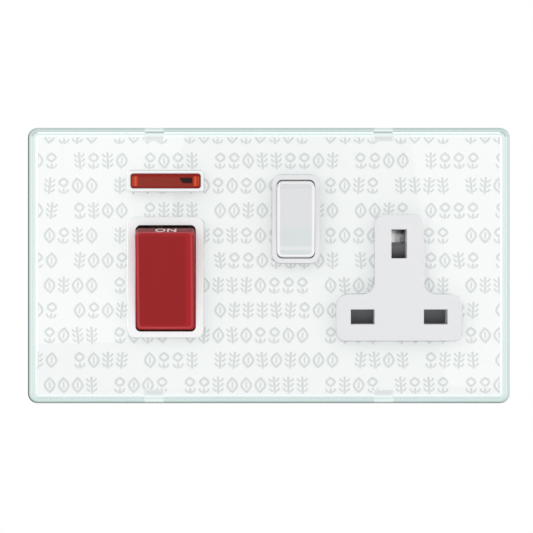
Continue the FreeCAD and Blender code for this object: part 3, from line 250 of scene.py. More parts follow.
def gloss_range(group, given, texture):
    """A roughness that runs between the group's two gloss inputs."""
    gloss = add(group, "ShaderNodeMapRange")
    feed(group, gloss.inputs["Value"], texture)
    feed(group, gloss.inputs["To Min"], given.outputs["Gloss Low"])
    feed(group, gloss.inputs["To Max"], given.outputs["Gloss High"])
    return gloss.outputs[0]


def bumped(tree, strength, height, under=None, distance=0.02 * MM):
    """A shallow relief, on its own or over another normal."""
    bump = add(tree, "ShaderNodeBump")
    bump.inputs["Distance"].default_value = distance
    feed(tree, bump.inputs["Strength"], strength)
    feed(tree, bump.inputs["Height"], height)
    if under:
        tree.links.new(under, bump.inputs["Normal"])
    return bump.outputs[0]


def soft_edges(tree, radius):
    bevel = add(tree, "ShaderNodeBevel", samples=4)
    feed(tree, bevel.inputs["Radius"], radius)
    return bevel.outputs[0]


# %% Moulded plastic, a shared group
moulded, given, result = shader_group(
    "moulded plastic", [("Vector", VECTOR, None), ("Colour", COLOUR, (0.8, 0.8, 0.8, 1)),
                        ("Drift", FLOAT, 0.03), ("Grain", FLOAT, 0.05), ("Gloss Low", FLOAT, 0.22),
                        ("Gloss High", FLOAT, 0.34), ("Edge Radius", FLOAT, 0.00025)],
    [("Colour", COLOUR), ("Roughness", FLOAT), ("Normal", VECTOR)])
broad = math_step(moulded, "SUBTRACT", noise(moulded, given.outputs["Vector"], 60, 3), 0.5)
drift = math_step(moulded, "MULTIPLY", broad, given.outputs["Drift"])
shade = add(moulded, "ShaderNodeHueSaturation")
feed(moulded, shade.inputs["Value"], math_step(moulded, "ADD", drift, 1.0))
feed(moulded, shade.inputs["Color"], given.outputs["Colour"])
fine = noise(moulded, given.outputs["Vector"], 4200, 2)
rounded = soft_edges(moulded, given.outputs["Edge Radius"])
put_out(moulded, result, Colour=shade.outputs[0], Roughness=gloss_range(moulded, given, fine),
        Normal=bumped(moulded, given.outputs["Grain"], fine, rounded))
print(moulded.name, "has", len(moulded.nodes), "nodes")


# %% Ways to make and give a finish
def new_material(name, gleam=0.5):
    """An empty material: its tree, its Principled shader and the object's own coordinates."""
    material = bpy.data.materials.new(name)
    material.use_nodes = True
    tree = material.node_tree
    shader = tree.nodes["Principled BSDF"]
    shader.inputs["Specular IOR Level"].default_value = gleam
    place = add(tree, "ShaderNodeTexCoord").outputs["Object"]
    return material, tree, shader, place


def use_group(tree, group, **values):
    placed = add(tree, "ShaderNodeGroup", node_tree=group)
    for label, value in values.items():
        feed(tree, placed.inputs[label.replace("_", " ")], value)
    return placed


def dress_shader(tree, shader, finish):
    for output, name in (("Colour", "Base Color"), ("Roughness", "Roughness"), ("Normal", "Normal")):
        tree.links.new(finish.outputs[output], shader.inputs[name])


def mould(tree, shader, place, colour, low=0.22, high=0.34, **more):
    """Feeds a shader from the moulded plastic group, with a roughness from low to high."""
    finish = use_group(tree, moulded, Vector=place, Colour=colour, Gloss_Low=low, Gloss_High=high, **more)
    dress_shader(tree, shader, finish)
    return finish


def dress(material, *names):
    """Gives CAD pieces a finish through their own material slots."""
    for name in names:
        for slot in nodes[name].material_slots:
            slot.material = material


# %% Moulded materials
def plastic(name, colour, low=0.22, high=0.34):
    """A moulding of one colour, with a little clear shine on top."""
    material, tree, shader, place = new_material(name, 0.4)
    mould(tree, shader, place, colour, low, high)
    shader.inputs["Coat Weight"].default_value = 0.1
    shader.inputs["Coat Roughness"].default_value = 0.12
    return material


cover_white = plastic("cover white", (0.945, 0.95, 0.955, 1))
socket_white = plastic("socket white", (0.815, 0.82, 0.835, 1))
plunger_grey = plastic("plunger grey", (0.10, 0.10, 0.11, 1), low=0.4, high=0.5)
dress(cover_white, "switch_cover")
dress(socket_white, "socket_cover")
dress(plunger_grey, "socket_plunger", "cooker_neutral_plunger", "cooker_line_plunger")
print("mouldings dressed")

# %% [markdown]
# ## Rockers with a brighter border
# Both rockers have a pressing face inside a rounded border that catches more light. On the red one the border
# is painted a livelier red, widest on the right, as painted light on its rounded sides, and its edges carry a
# thin pale line, a painted highlight. Its upper end, which slides in and out of the opening, is painted dark
# towards the top, as painted shade where it goes into the opening. On the small white one the face is satin
# grey, with a lighter band near its foot that is a painted highlight, inside a glossy white lip. The distance
# group finds each border, so a rocker needs no seams.


# %% Masks and mixes
def soft_step(tree, value, start, end):
    """Zero up to start and one from end on, with a smooth way between."""
    step = add(tree, "ShaderNodeMapRange", interpolation_type="SMOOTHSTEP")
    feed(tree, step.inputs["Value"], value)
    step.inputs["From Min"].default_value = start
    step.inputs["From Max"].default_value = end
    return step.outputs[0]


def colour_mix(tree, factor, under, over, amount=1.0):
    """Lays one colour over another where a mask says so, wholly or by an amount."""
    if amount < 1.0:
        factor = math_step(tree, "MULTIPLY", factor, amount)
    mixed = add(tree, "ShaderNodeMix", data_type="RGBA")
    feed(tree, mixed.inputs["Factor"], factor)
    feed(tree, mixed.inputs[6], under)
    feed(tree, mixed.inputs[7], over)
    return mixed.outputs[2]


def border_distance(tree, place, centre, half, corner):
    """How far a point lies outside a rounded outline, seen from the front."""
    return use_group(tree, outline_group, Vector=place, Centre_X=centre[0], Centre_Z=centre[1],
                     Half_Width=half[0], Half_Height=half[1], Corner=corner).outputs[0]


def height_of(tree, place):
    return math_step(tree, "MULTIPLY", part_of(tree, place, "Z"), TO_MM)


# %% Red rocker
RED_PRESSING = ((-32.1, -4.4), (7.1, 13.7), 1.0)
RED_GLINT_EDGE = ((-31.35, -4.45), (8.1, 14.4), 1.0)
END_SHADE_STARTS, END_SHADE_DEEPENS = (9.9, 10.3), (10.9, 11.6)
red_rocker, tree, shader, place = new_material("rocker red", 0.2)
# Painted light: the border is a brighter red where the rocker's rounded sides catch more light.
border = soft_step(tree, border_distance(tree, place, *RED_PRESSING), -0.5, 0.5)
colour = colour_mix(tree, border, (0.315, 0.009, 0.011, 1), (0.41, 0.010, 0.014, 1))
# Painted highlight: a thin pale line along the rocker's outer edge.
from_glint_edge = math_step(tree, "ABSOLUTE", border_distance(tree, place, *RED_GLINT_EDGE))
colour = colour_mix(tree, soft_step(tree, from_glint_edge, 0.4, 0.1), colour, (0.52, 0.075, 0.09, 1), 0.7)
# Painted shade: the upper end darkens towards the top, and is near black where it goes into the opening.
up = height_of(tree, place)
colour = colour_mix(tree, soft_step(tree, up, *END_SHADE_STARTS), colour, (0.06, 0.004, 0.005, 1), 0.6)
colour = colour_mix(tree, soft_step(tree, up, *END_SHADE_DEEPENS), colour, (0.004, 0.002, 0.002, 1))
mould(tree, shader, place, colour, 0.26, 0.36)
dress(red_rocker, "cooker_rocker")
print("red pressing face", [2 * half for half in RED_PRESSING[1]], "mm")

# %% White rocker
WHITE_PRESSING = ((8.2, 13.95), (4.85, 10.65), 0.9)
white_rocker, tree, shader, place = new_material("rocker white", 0.4)
up = height_of(tree, place)
face = colour_mix(tree, soft_step(tree, up, 13.0, 10.0), (0.76, 0.765, 0.785, 1), (0.715, 0.76, 0.76, 1))
# Painted highlight: a lighter band across the face near its foot.
foot_highlight = math_step(tree, "SUBTRACT", soft_step(tree, up, 6.4, 5.2), soft_step(tree, up, 4.9, 4.5))
face = colour_mix(tree, foot_highlight, face, (0.86, 0.88, 0.88, 1), 0.6)
lip = soft_step(tree, border_distance(tree, place, *WHITE_PRESSING), -0.15, 0.15)
mould(tree, shader, place, colour_mix(tree, lip, face, (0.97, 0.97, 0.97, 1)), 0.3, 0.4)
dress(white_rocker, "socket_rocker")
print("white pressing face", [2 * half for half in WHITE_PRESSING[1]], "mm")

# %% [markdown]
# ## The shutter
# The shutter is a dark grey slide behind the slots. Its grey is painted from light to dark down each part,
# most of all on the slope behind the earth slot: painted light above and painted shade lower down.

# %% Shutter material
SLOPE_SPAN, WAIST_SPAN, BAR_SPAN = (2.4, 6.8), (-6.0, -2.0), (-17.8, -13.4)
shutter_grey, tree, shader, place = new_material("shutter grey", 0.4)
up = height_of(tree, place)
# Painted light and shade: each part runs from light at the top to dark lower down.
slope_lit_to_shaded = colour_mix(tree, soft_step(tree, up, *SLOPE_SPAN), (0.10, 0.095, 0.10, 1), (0.90, 0.90, 0.92, 1))
bar_lit_to_shaded = colour_mix(tree, soft_step(tree, up, *BAR_SPAN), (0.09, 0.09, 0.095, 1), (0.25, 0.255, 0.265, 1))
mould(tree, shader, place, colour_mix(tree, soft_step(tree, up, *WAIST_SPAN), bar_lit_to_shaded, slope_lit_to_shaded), 0.35, 0.5)
dress(shutter_grey, "shutter")

# %% [markdown]
# ## The rear housing
# The housing is moulded in a matt white plastic. It was pushed out of its mould by round pins, and each pin
# left a faint ring on the back. The rings are the least of several distances to a circle, turned into a
# shallow bump that shows only on faces that look backwards.

# %% Housing material
PIN_MARKS = [(x, z) for x in (-52, -8, 20, 52) for z in (-21, 21)]
PIN_RADIUS, FAR_AWAY = 2.6, 99.0
housing_white, tree, shader, place = new_material("housing white", 0.4)
nearest = FAR_AWAY
for mark in PIN_MARKS:
    from_pin = border_distance(tree, place, mark, (PIN_RADIUS, PIN_RADIUS), PIN_RADIUS)
    nearest = math_step(tree, "MINIMUM", nearest, from_pin)
ring_mark = soft_step(tree, math_step(tree, "ABSOLUTE", nearest), 0.35, 0.05)
dimple = soft_step(tree, nearest, 0.1, -0.3)
on_back = soft_step(tree, part_of(tree, place.node.outputs["Normal"], "Y"), 0.8, 0.95)
relief = math_step(tree, "MULTIPLY", math_step(tree, "SUBTRACT", ring_mark, dimple), on_back)
finish = mould(tree, shader, place, (0.80, 0.80, 0.78, 1), 0.38, 0.5, Grain=0.15)
marked = bumped(tree, 1.0, relief, finish.outputs["Normal"], 0.12 * MM)
tree.links.new(marked, shader.inputs["Normal"])
dress(housing_white, "rear_housing")
print(len(PIN_MARKS), "pin marks on the back")

# %% [markdown]
# ## The clear plate
# The plate is clear sheet with a bevel all round. Seen from the front its middle is invisible, its bevel is a
# pale green band, and its very edge is a dark line, because light that enters there travels through much more
# material. Real refraction alone would need a dark room round the plate to show that, so the green band, the
# dark line and a darker strip on the upper bevel are painted into the tint from the distance to the outline.
# The line is darkest on the left and at the foot: painted shade, as in the photograph. Seen edge on, the
# sheet is a soft green. Where the four clips stand behind the rim, the band is clearer. The dark line is kept
# for what the eye sees directly, or it would come back as black patches inside the sheet. Light that has
# bounced to and fro in the sheet a few times is let out, and so is light that goes on to the paper, which
# would otherwise be full of noise.

# %% Clear plate masks
PLATE_HALF = (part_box("front_plate")[1].x / MM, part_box("front_plate")[1].z / MM)
PLATE_CORNER, CLIP_X, CLIP_HALF = 3.0, 35.0, 2.6
clear, tree, glass, place = new_material("clear sheet")
distance = border_distance(tree, place, (0.0, 0.0), PLATE_HALF, PLATE_CORNER)
surface = place.node.outputs["Normal"]
turned_y, turned_z = part_of(tree, surface, "Y"), part_of(tree, surface, "Z")
front = soft_step(tree, math_step(tree, "MULTIPLY", turned_y, -1.0), 0.2, 0.5)
face_on = soft_step(tree, math_step(tree, "ABSOLUTE", turned_y), 0.1, 0.4)
flank = math_step(tree, "SUBTRACT", 1.0, face_on)
shady = add(tree, "ShaderNodeVectorMath", operation="DOT_PRODUCT")
tree.links.new(surface, shady.inputs[0])
shady.inputs[1].default_value = (-0.8, 0, -0.5)
across = math_step(tree, "ABSOLUTE", math_step(tree, "MULTIPLY", part_of(tree, place, "X"), TO_MM))
off_clip = math_step(tree, "ABSOLUTE", math_step(tree, "SUBTRACT", across, CLIP_X))
beside_clip = math_step(tree, "MULTIPLY", math_step(tree, "SUBTRACT", off_clip, CLIP_HALF), 1.6, clamp=True)
print("plate half size", [round(v, 2) for v in PLATE_HALF])

# %% Clear plate tints
BANDS = {"pale": (-2.6, -2.3), "green": (-1.95, -1.75), "deep": (-1.2, -1.5), "line": (-0.6, -0.4),
         "lug": (-4.05, -3.95), "crest": (-1.9, -1.75), "crest end": (-1.1, -1.25)}


def band(name):
    """Where a band near the rim starts or ends, by its distance from the outline."""
    return soft_step(tree, distance, *BANDS[name])


def times(first, second):
    return math_step(tree, "MULTIPLY", first, second)


green = times(front, band("green"))
upright = math_step(tree, "MULTIPLY_ADD", math_step(tree, "ABSOLUTE", turned_z), 0.7, 0.55, clamp=True)
through_clip = times(upright, math_step(tree, "MULTIPLY_ADD", beside_clip, 0.7, 0.3))
# Painted shade: the edge line is made darker on the left and at the foot.
depth = math_step(tree, "MULTIPLY_ADD", shady.outputs["Value"], 0.75, 0.6, clamp=True)
rays = add(tree, "ShaderNodeLightPath")
line = times(times(front, rays.outputs["Is Camera Ray"]), times(band("line"), depth))
lug = times(times(front, band("lug")), math_step(tree, "SUBTRACT", 1.0, beside_clip))
crest = times(times(band("crest"), band("crest end")), times(soft_step(tree, turned_z, 0.05, 0.15), front))
layers = [(lug, (0.72, 0.76, 0.755, 1)),
          (times(front, band("pale")), (0.86, 0.97, 0.955, 1)),
          (times(green, through_clip), (0.52, 0.64, 0.62, 1)),
          (times(times(green, band("deep")), through_clip), (0.46, 0.61, 0.585, 1)),
          (crest, (0.30, 0.35, 0.34, 1)),
          (line, (0.02, 0.03, 0.03, 1)),
          (flank, (0.62, 0.78, 0.74, 1))]
colour = (0.985, 0.993, 0.99, 1)
for mask, tint in layers:
    colour = colour_mix(tree, mask, colour, tint)
tree.links.new(colour, glass.inputs["Base Color"])
print(len(layers), "tints")

# %% Clear plate shader
FEW_BOUNCES = 3.5
glass.inputs["Transmission Weight"].default_value = 1.0
glass.inputs["Roughness"].default_value = 0.0
glass.inputs["IOR"].default_value = 1.45
through = add(tree, "ShaderNodeBsdfTransparent")
feed(tree, through.inputs["Color"], (0.99, 0.995, 0.993, 1))
soft_rays = math_step(tree, "MAXIMUM", rays.outputs["Is Shadow Ray"], rays.outputs["Is Diffuse Ray"])
trapped = math_step(tree, "GREATER_THAN", rays.outputs["Ray Depth"], FEW_BOUNCES)
choice = add(tree, "ShaderNodeMixShader")
feed(tree, choice.inputs[0], math_step(tree, "MAXIMUM", soft_rays, trapped))
tree.links.new(glass.outputs[0], choice.inputs[1])
tree.links.new(through.outputs[0], choice.inputs[2])
tree.links.new(choice.outputs[0], tree.nodes["Material Output"].inputs["Surface"])
dress(clear, "front_plate")
print(clear.name, "has", len(tree.nodes), "nodes")

# %% [markdown]
# ## Paper
# The insert is matt white paper, with a faint mottle from its fibres. The print lies on it as a separate thin
# layer of ink further down, in a grey that is stronger in some places than in others.

# %% Paper and ink
paper, tree, shader, place = new_material("paper")
fibres = noise(tree, place, 900, 5)
mottle = colour_mix(tree, fibres, (0.93, 0.945, 0.945, 1), (0.97, 0.98, 0.98, 1))
tree.links.new(mottle, shader.inputs["Base Color"])
shader.inputs["Roughness"].default_value = 0.85
tree.links.new(bumped(tree, 0.15, fibres, distance=0.03 * MM), shader.inputs["Normal"])
dress(paper, "wallpaper_insert")

ink, tree, shader, place = new_material("grey ink")
strength = colour_mix(tree, noise(tree, place, 700), (0.66, 0.685, 0.68, 1), (0.74, 0.76, 0.755, 1))
tree.links.new(strength, shader.inputs["Base Color"])
shader.inputs["Roughness"].default_value = 0.7
print("paper and ink ready")

# %% [markdown]
# ## Metal
# The metal hides behind the plate: a zinc plated frame, brass terminal blocks with copper alloy strips, a
# tinned earth contact, and bright steel for screws and springs. Each is brushed or drawn in one direction, so
# its roughness is streaked. One group stretches a noise along the drawing direction, and each material gives
# it a colour, a stain and a strength.

# %% Worked metal, a shared group
worked, given, result = shader_group(
    "worked metal", [("Vector", VECTOR, None), ("Stretch", VECTOR, (1.0, 1.0, 1.0)),
                     ("Colour", COLOUR, (0.7, 0.7, 0.7, 1)), ("Stain", COLOUR, (0.5, 0.5, 0.5, 1)),
                     ("Stain Amount", FLOAT, 0.3), ("Gloss Low", FLOAT, 0.2), ("Gloss High", FLOAT, 0.4),
                     ("Streak Depth", FLOAT, 0.2)],
    [("Colour", COLOUR), ("Roughness", FLOAT), ("Normal", VECTOR)])
turned = add(worked, "ShaderNodeMapping")
feed(worked, turned.inputs["Vector"], given.outputs["Vector"])
feed(worked, turned.inputs["Scale"], given.outputs["Stretch"])
streaks = noise(worked, turned.outputs[0], 1500, 4)
clouds = math_step(worked, "SUBTRACT", noise(worked, given.outputs["Vector"], 220, 5), 0.42)
spots = math_step(worked, "MULTIPLY", clouds, 3.0, clamp=True)
stained = math_step(worked, "MULTIPLY", spots, given.outputs["Stain Amount"])
rounded = soft_edges(worked, 0.12 * MM)
put_out(worked, result, Colour=colour_mix(worked, stained, given.outputs["Colour"], given.outputs["Stain"]),
        Roughness=gloss_range(worked, given, streaks),
        Normal=bumped(worked, given.outputs["Streak Depth"], streaks, rounded))
print(worked.name, "has", len(worked.nodes), "nodes")


# %% Metal materials
def metal(name, colour, stain, amount, stretch, low, high, depth=0.2):
    material, tree, shader, place = new_material(name)
    dress_shader(tree, shader, use_group(tree, worked, Vector=place, Stretch=stretch, Colour=colour,
                                         Stain=stain, Stain_Amount=amount, Gloss_Low=low, Gloss_High=high,
                                         Streak_Depth=depth))
    shader.inputs["Metallic"].default_value = 1.0
    return material


ALONG_X, ALONG_Y, ALONG_Z, EVEN = (0.06, 1, 1), (1, 0.2, 1), (1, 1, 0.05), (1, 1, 1)
zinc = metal("zinc plate", (0.62, 0.64, 0.66, 1), (0.42, 0.44, 0.45, 1), 0.5, ALONG_X, 0.25, 0.42)
brass = metal("brass", (0.78, 0.58, 0.26, 1), (0.55, 0.37, 0.15, 1), 0.35, ALONG_Z, 0.18, 0.34)
copper = metal("copper alloy", (0.78, 0.50, 0.30, 1), (0.48, 0.27, 0.15, 1), 0.45, ALONG_X, 0.22, 0.38)
tin = metal("tin plate", (0.95, 0.95, 0.95, 1), (0.80, 0.80, 0.80, 1), 0.4, ALONG_X, 0.14, 0.24)
steel = metal("bright steel", (0.66, 0.65, 0.63, 1), (0.45, 0.43, 0.40, 1), 0.25, ALONG_Y, 0.15, 0.3, 0.1)
wire_steel = metal("spring wire", (0.60, 0.60, 0.60, 1), (0.40, 0.39, 0.38, 1), 0.2, EVEN, 0.12, 0.25, 0.05)
strips = [name for name in nodes if name.endswith(("_link", "_pin_contact", "_seesaw"))]
dress(zinc, "support_frame", "frame_earth_strap")
dress(brass, *[name for name in nodes if name.endswith("_terminal")])
dress(copper, *strips)
dress(tin, "earth_pin_contact")
print(len(strips), "strips, of which one is tinned")

# %% [markdown]
# ## The neon lens
# The lens is orange-red translucent plastic. Its two ends are ribbed and glow brighter, because light leaves
# the moulding there, and its middle looks brown where the dark space behind shows through. The lens hides its
# lamp, so this light and shade are painted in the material: a stack of rounded patches, brighter ribs from a
# wave across the ends, and a painted shadow right of the middle.

# %% Lens material
low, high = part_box("neon_lens")
LENS_X, LENS_Z = (low.x + high.x) / 2 / MM, (low.z + high.z) / 2 / MM
lens_red, tree, shader, place = new_material("lens red", 0.15)


def lens_patch(across, up, half_width, half_height, corner, blend):
    """One inside a rounded patch, which is placed from the middle of the lens, and zero outside it."""
    away = border_distance(tree, place, (LENS_X + across, LENS_Z + up), (half_width, half_height), corner)
    return soft_step(tree, away, blend, -blend)


# Painted light and shade: brighter ends and ribs, and a brown middle where the dark space shows through.
rim_red, glow, brown = (0.25, 0.006, 0.004, 1), (0.29, 0.011, 0.006, 1), (0.245, 0.026, 0.011, 1)
colour = colour_mix(tree, lens_patch(0, -0.2, 10.25, 1.6, 0.6, 0.3), rim_red, glow)
middle = colour_mix(tree, noise(tree, place, 420), brown, (0.285, 0.022, 0.015, 1))
colour = colour_mix(tree, lens_patch(0, -0.35, 8.35, 1.4, 0.3, 0.3), colour, middle)
bars = add(tree, "ShaderNodeTexWave", wave_type="BANDS", bands_direction="X")
bars.inputs["Scale"].default_value = 260
tree.links.new(place, bars.inputs["Vector"])
ribs = colour_mix(tree, bars.outputs["Fac"], (0.46, 0.028, 0.011, 1), (0.68, 0.10, 0.032, 1))
for across in (-9.25, 9.25):
    colour = colour_mix(tree, lens_patch(across, -0.1, 0.85, 1.45, 0.3, 0.25), colour, ribs)
print("lens centre", round(LENS_X, 2), round(LENS_Z, 2))

# %% The painted shadow in the lens
SLANT, SLANT_START = 0.65, 4.7
slant = add(tree, "ShaderNodeVectorMath", operation="DOT_PRODUCT")
tree.links.new(place, slant.inputs[0])
slant.inputs[1].default_value = (TO_MM, 0, SLANT * TO_MM)
slant_edge = LENS_X + SLANT_START + SLANT * LENS_Z
slanted = soft_step(tree, slant.outputs["Value"], slant_edge - 0.3, slant_edge + 0.3)
# Painted shadow: a dark slanted patch right of the middle.
lens_shadow = math_step(tree, "MULTIPLY", lens_patch(6.1, 0.15, 2.0, 0.85, 0.2, 0.25), slanted)
mould(tree, shader, place, colour_mix(tree, lens_shadow, colour, (0.018, 0.003, 0.002, 1)), 0.08, 0.16)
dress(lens_red, "neon_lens")
print(lens_red.name, "has", len(tree.nodes), "nodes")

# %% [markdown]
# ## Lamp and resistor
# Behind the lens lies a small neon lamp in series with a resistor. The lamp is thin glass round two
# electrodes, and the resistor is lacquered tan with coloured bands, which are steps of colour along it.

# %% Lamp glass and resistor lacquer
lamp_glass, tree, shader, place = new_material("lamp glass")
mould(tree, shader, place, (0.96, 0.93, 0.9, 1), 0.02, 0.06)
shader.inputs["Transmission Weight"].default_value = 0.9
dress(lamp_glass, "neon_lamp")

BANDED_LENGTH = 6.5 * MM
lacquer, tree, shader, place = new_material("resistor lacquer")
banded_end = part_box("neon_resistor")[1].x
along = add(tree, "ShaderNodeMapRange")
feed(tree, along.inputs["Value"], part_of(tree, place, "X"))
along.inputs["From Min"].default_value = banded_end - BANDED_LENGTH
along.inputs["From Max"].default_value = banded_end
ribbon = add(tree, "ShaderNodeValToRGB")
ribbon.color_ramp.interpolation = "CONSTANT"
body = (0.62, 0.44, 0.22, 1)
stops = [(0.0, body), (0.16, (0.03, 0.05, 0.30, 1)), (0.26, body), (0.38, (0.05, 0.05, 0.05, 1)),
         (0.48, body), (0.60, (0.60, 0.32, 0.02, 1)), (0.70, body), (0.84, (0.55, 0.36, 0.08, 1)),
         (0.92, body)]
points = ribbon.color_ramp.elements
for index, (where, tone) in enumerate(stops):
    point = points[index] if index < 2 else points.new(where)
    point.position = where
    point.color = tone
tree.links.new(along.outputs[0], ribbon.inputs[0])
mould(tree, shader, place, ribbon.outputs[0])
dress(lacquer, "neon_resistor")
print(len(points), "steps on the resistor")

# %% [markdown]
# ## Finer pieces from Geometry Nodes
# A screw thread, a helix of wire and a row of printed marks all repeat one small shape. Each is a short
# Geometry Nodes tree with named inputs. The tree is evaluated once, its result becomes a plain mesh on a
# plain object, and the modifier goes, so the model holds only ordinary geometry.


# %% Geometry helpers
MATERIAL, GEOMETRY, WHOLE = "NodeSocketMaterial", "NodeSocketGeometry", "NodeSocketInt"


def geometry_tree(name, inputs):
    """A new Geometry Nodes tree with its named inputs, and the two nodes at its ends."""
    tree = bpy.data.node_groups.new(name, "GeometryNodeTree")
    tree.interface.new_socket("Geometry", in_out="INPUT", socket_type=GEOMETRY)
    for label, kind, value in inputs:
        socket = tree.interface.new_socket(label, in_out="INPUT", socket_type=kind)
        if value is not None:
            socket.default_value = value
    tree.interface.new_socket("Geometry", in_out="OUTPUT", socket_type=GEOMETRY)
    return tree, add(tree, "NodeGroupInput"), add(tree, "NodeGroupOutput")


def finish_tree(tree, geometry, material, result):
    """Realize Instances and Set Material end each tree, so that no instance is left."""
    real = add(tree, "GeometryNodeRealizeInstances")
    tree.links.new(geometry, real.inputs[0])
    painted = add(tree, "GeometryNodeSetMaterial")
    tree.links.new(real.outputs[0], painted.inputs["Geometry"])
    tree.links.new(material, painted.inputs["Material"])
    tree.links.new(painted.outputs[0], result.inputs[0])
    print(tree.name, "has", len(tree.nodes), "nodes")


def plain_mesh(holder):
    """The evaluated shape of a helper object, as a mesh of its own. The helper is removed."""
    bpy.context.scene.collection.objects.link(holder)
    ready = holder.evaluated_get(bpy.context.evaluated_depsgraph_get())
    mesh = bpy.data.meshes.new_from_object(ready)
    bpy.data.objects.remove(holder)
    return mesh


def grown_mesh(tree, values, seed_mesh=None):
    """The mesh that a tree gives for some values."""
    holder = bpy.data.objects.new("holder", seed_mesh or bpy.data.meshes.new("empty"))
    modifier = holder.modifiers.new("grow", "NODES")
    modifier.node_group = tree
    for item in tree.interface.items_tree:
        if item.in_out == "INPUT" and item.name in values:
            modifier[item.identifier] = values[item.name]
    return plain_mesh(holder)


# %% Ways to place and check a piece
def place_piece(name, mesh, body, slot, material, *replaced):
    """A plain object at the origin that rides on a body, with its finish and what it stands for."""
    mesh.name = name
    mesh.materials.clear()
    mesh.materials.append(material)
    piece = in_scene(name, mesh)
    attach(piece, body)
    if replaced:
        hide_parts(*replaced)
    return piece


def mesh_of(work, name):
    """Turns finished bmesh work into a mesh."""
    mesh = bpy.data.meshes.new(name)
    work.to_mesh(mesh)
    work.free()
    return mesh


def tidy_mesh(mesh):
    """Merges doubled corners and turns every face outwards."""
    work = bmesh.new()
    work.from_mesh(mesh)
    bmesh.ops.remove_doubles(work, verts=work.verts[:], dist=1e-7)
    bmesh.ops.recalc_face_normals(work, faces=work.faces[:])
    work.to_mesh(mesh)
    work.free()
    return mesh


def compare(piece, node):
    """Prints how far a piece's lowest and highest corners lie from its CAD node's."""
    for corner, cad in zip((piece.bound_box[0], piece.bound_box[6]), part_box(node)):
        print(piece.name, [round((corner[k] - cad[k]) / MM, 2) for k in range(3)], "mm off")


# %% [markdown]
# ## The paper insert
# The insert is thin card, cut to stand in the plate's recess, with a window round each raised bezel. Its CAD
# sheet has square windows. A closer cut with rounded corners stands for it here, because the clear plate
# shows the card right up to the bezels. A filled flat curve is the quickest way to a sheet with holes: each
# outline is one closed spline, and the curve's extrusion gives the card's thickness.

# %% Outlines of the windows
CARD_SLACK = 0.05
SOCKET_X, STEM_HALF, BAR_HALF = 39.6, 7.4, 19.1
STEM_TOP, BAR_TOP, BAR_FOOT = 15.5, -8.7, -22.85
STEM_CORNER, ARM_CORNER, FOOT_CORNER = 3.0, 3.8, 2.6


def rounded_loop(corners, steps=8):
    """Points round a right-angled outline. Each corner is (x, z, radius)."""
    loop = []
    for index, (x, z, radius) in enumerate(corners):
        here = Vector((x, z))
        before = Vector(corners[index - 1][:2])
        after = Vector(corners[(index + 1) % len(corners)][:2])
        arrive, leave = (here - before).normalized(), (after - here).normalized()
        centre = here - arrive * radius + leave * radius
        for step in range(steps + 1):
            angle = math.pi / 2 * step / steps
            loop.append(centre + radius * (arrive * math.sin(angle) - leave * math.cos(angle)))
    return loop


def rounded_box(x, z, width, height, corner, grow=0.0):
    half_x, half_z, radius = width / 2 + grow, height / 2 + grow, corner + grow
    return rounded_loop([(x - half_x, z - half_z, radius), (x + half_x, z - half_z, radius),
                         (x + half_x, z + half_z, radius), (x - half_x, z + half_z, radius)])


def socket_loop(grow=0.0):
    """The socket face's three arms, from the foot's left corner round to the left arm."""
    right = [(BAR_HALF + grow, BAR_FOOT - grow, FOOT_CORNER + grow),
             (BAR_HALF + grow, BAR_TOP + grow, ARM_CORNER + grow),
             (STEM_HALF + grow, BAR_TOP + grow, ARM_CORNER - grow),
             (STEM_HALF + grow, STEM_TOP + grow, STEM_CORNER + grow)]
    left = [(-x, z, radius) for x, z, radius in right]
    return rounded_loop([(SOCKET_X + x, z, radius) for x, z, radius in left[:1] + right + left[:0:-1]])


BEZELS = [(-31.35, -3.6, 23.0, 36.6, 2.2), (-31.35, 25.7, 23.0, 6.35, 0.8), (8.2, 14.1, 14.5, 26.9, 2.8)]
windows = [rounded_box(*bezel, grow=CARD_SLACK) for bezel in BEZELS] + [socket_loop(CARD_SLACK)]
print(len(windows), "windows of", [len(loop) for loop in windows], "points")


# %% Cut the card
def sheet_mesh(name, loops, front, back):
    """A flat sheet between two depths, from an outline and the outlines of its holes."""
    curve = bpy.data.curves.new(name, "CURVE")
    curve.dimensions = "2D"
    curve.fill_mode = "BOTH"
    curve.extrude = (back - front) / 2 * MM
    for loop in loops:
        spline = curve.splines.new("POLY")
        spline.points.add(len(loop) - 1)
        for point, (x, z) in zip(spline.points, loop):
            point.co = (x * MM, z * MM, 0, 1)
        spline.use_cyclic_u = True
    mesh = plain_mesh(bpy.data.objects.new(name, curve))
    middle = Matrix.Translation((0, (front + back) / 2 * MM, 0))
    mesh.transform(middle @ Matrix.Rotation(math.pi / 2, 4, "X"))
    return tidy_mesh(mesh)


CARD_INSET, CARD_CORNER = 2.7, 0.4
NOTCH_INSET, NOTCH_HALF, NOTCH_CORNER = 3.9, 3.1, 0.1
CARD_FRONT, CARD_BACK = (corner.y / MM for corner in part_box("wallpaper_insert"))
CARD_HALF_X, CARD_HALF_Z = PLATE_HALF[0] - CARD_INSET, PLATE_HALF[1] - CARD_INSET
NOTCH_Z = PLATE_HALF[1] - NOTCH_INSET
edge = []
for side in (-1, 1):
    steps = [(-CARD_HALF_X, CARD_HALF_Z, CARD_CORNER)]
    for clip in (-CLIP_X, CLIP_X):
        notch = [(clip - NOTCH_HALF, CARD_HALF_Z), (clip - NOTCH_HALF, NOTCH_Z),
                 (clip + NOTCH_HALF, NOTCH_Z), (clip + NOTCH_HALF, CARD_HALF_Z)]
        steps += [(x, z, NOTCH_CORNER) for x, z in notch]
    steps += [(CARD_HALF_X, CARD_HALF_Z, CARD_CORNER)]
    edge += [(-side * x, -side * z, radius) for x, z, radius in steps]
card_mesh = sheet_mesh("card", [rounded_loop(edge, 4)] + windows, CARD_FRONT, CARD_BACK)
place_piece("card_insert", card_mesh, "front_plate", "paper_print", paper, "wallpaper_insert")
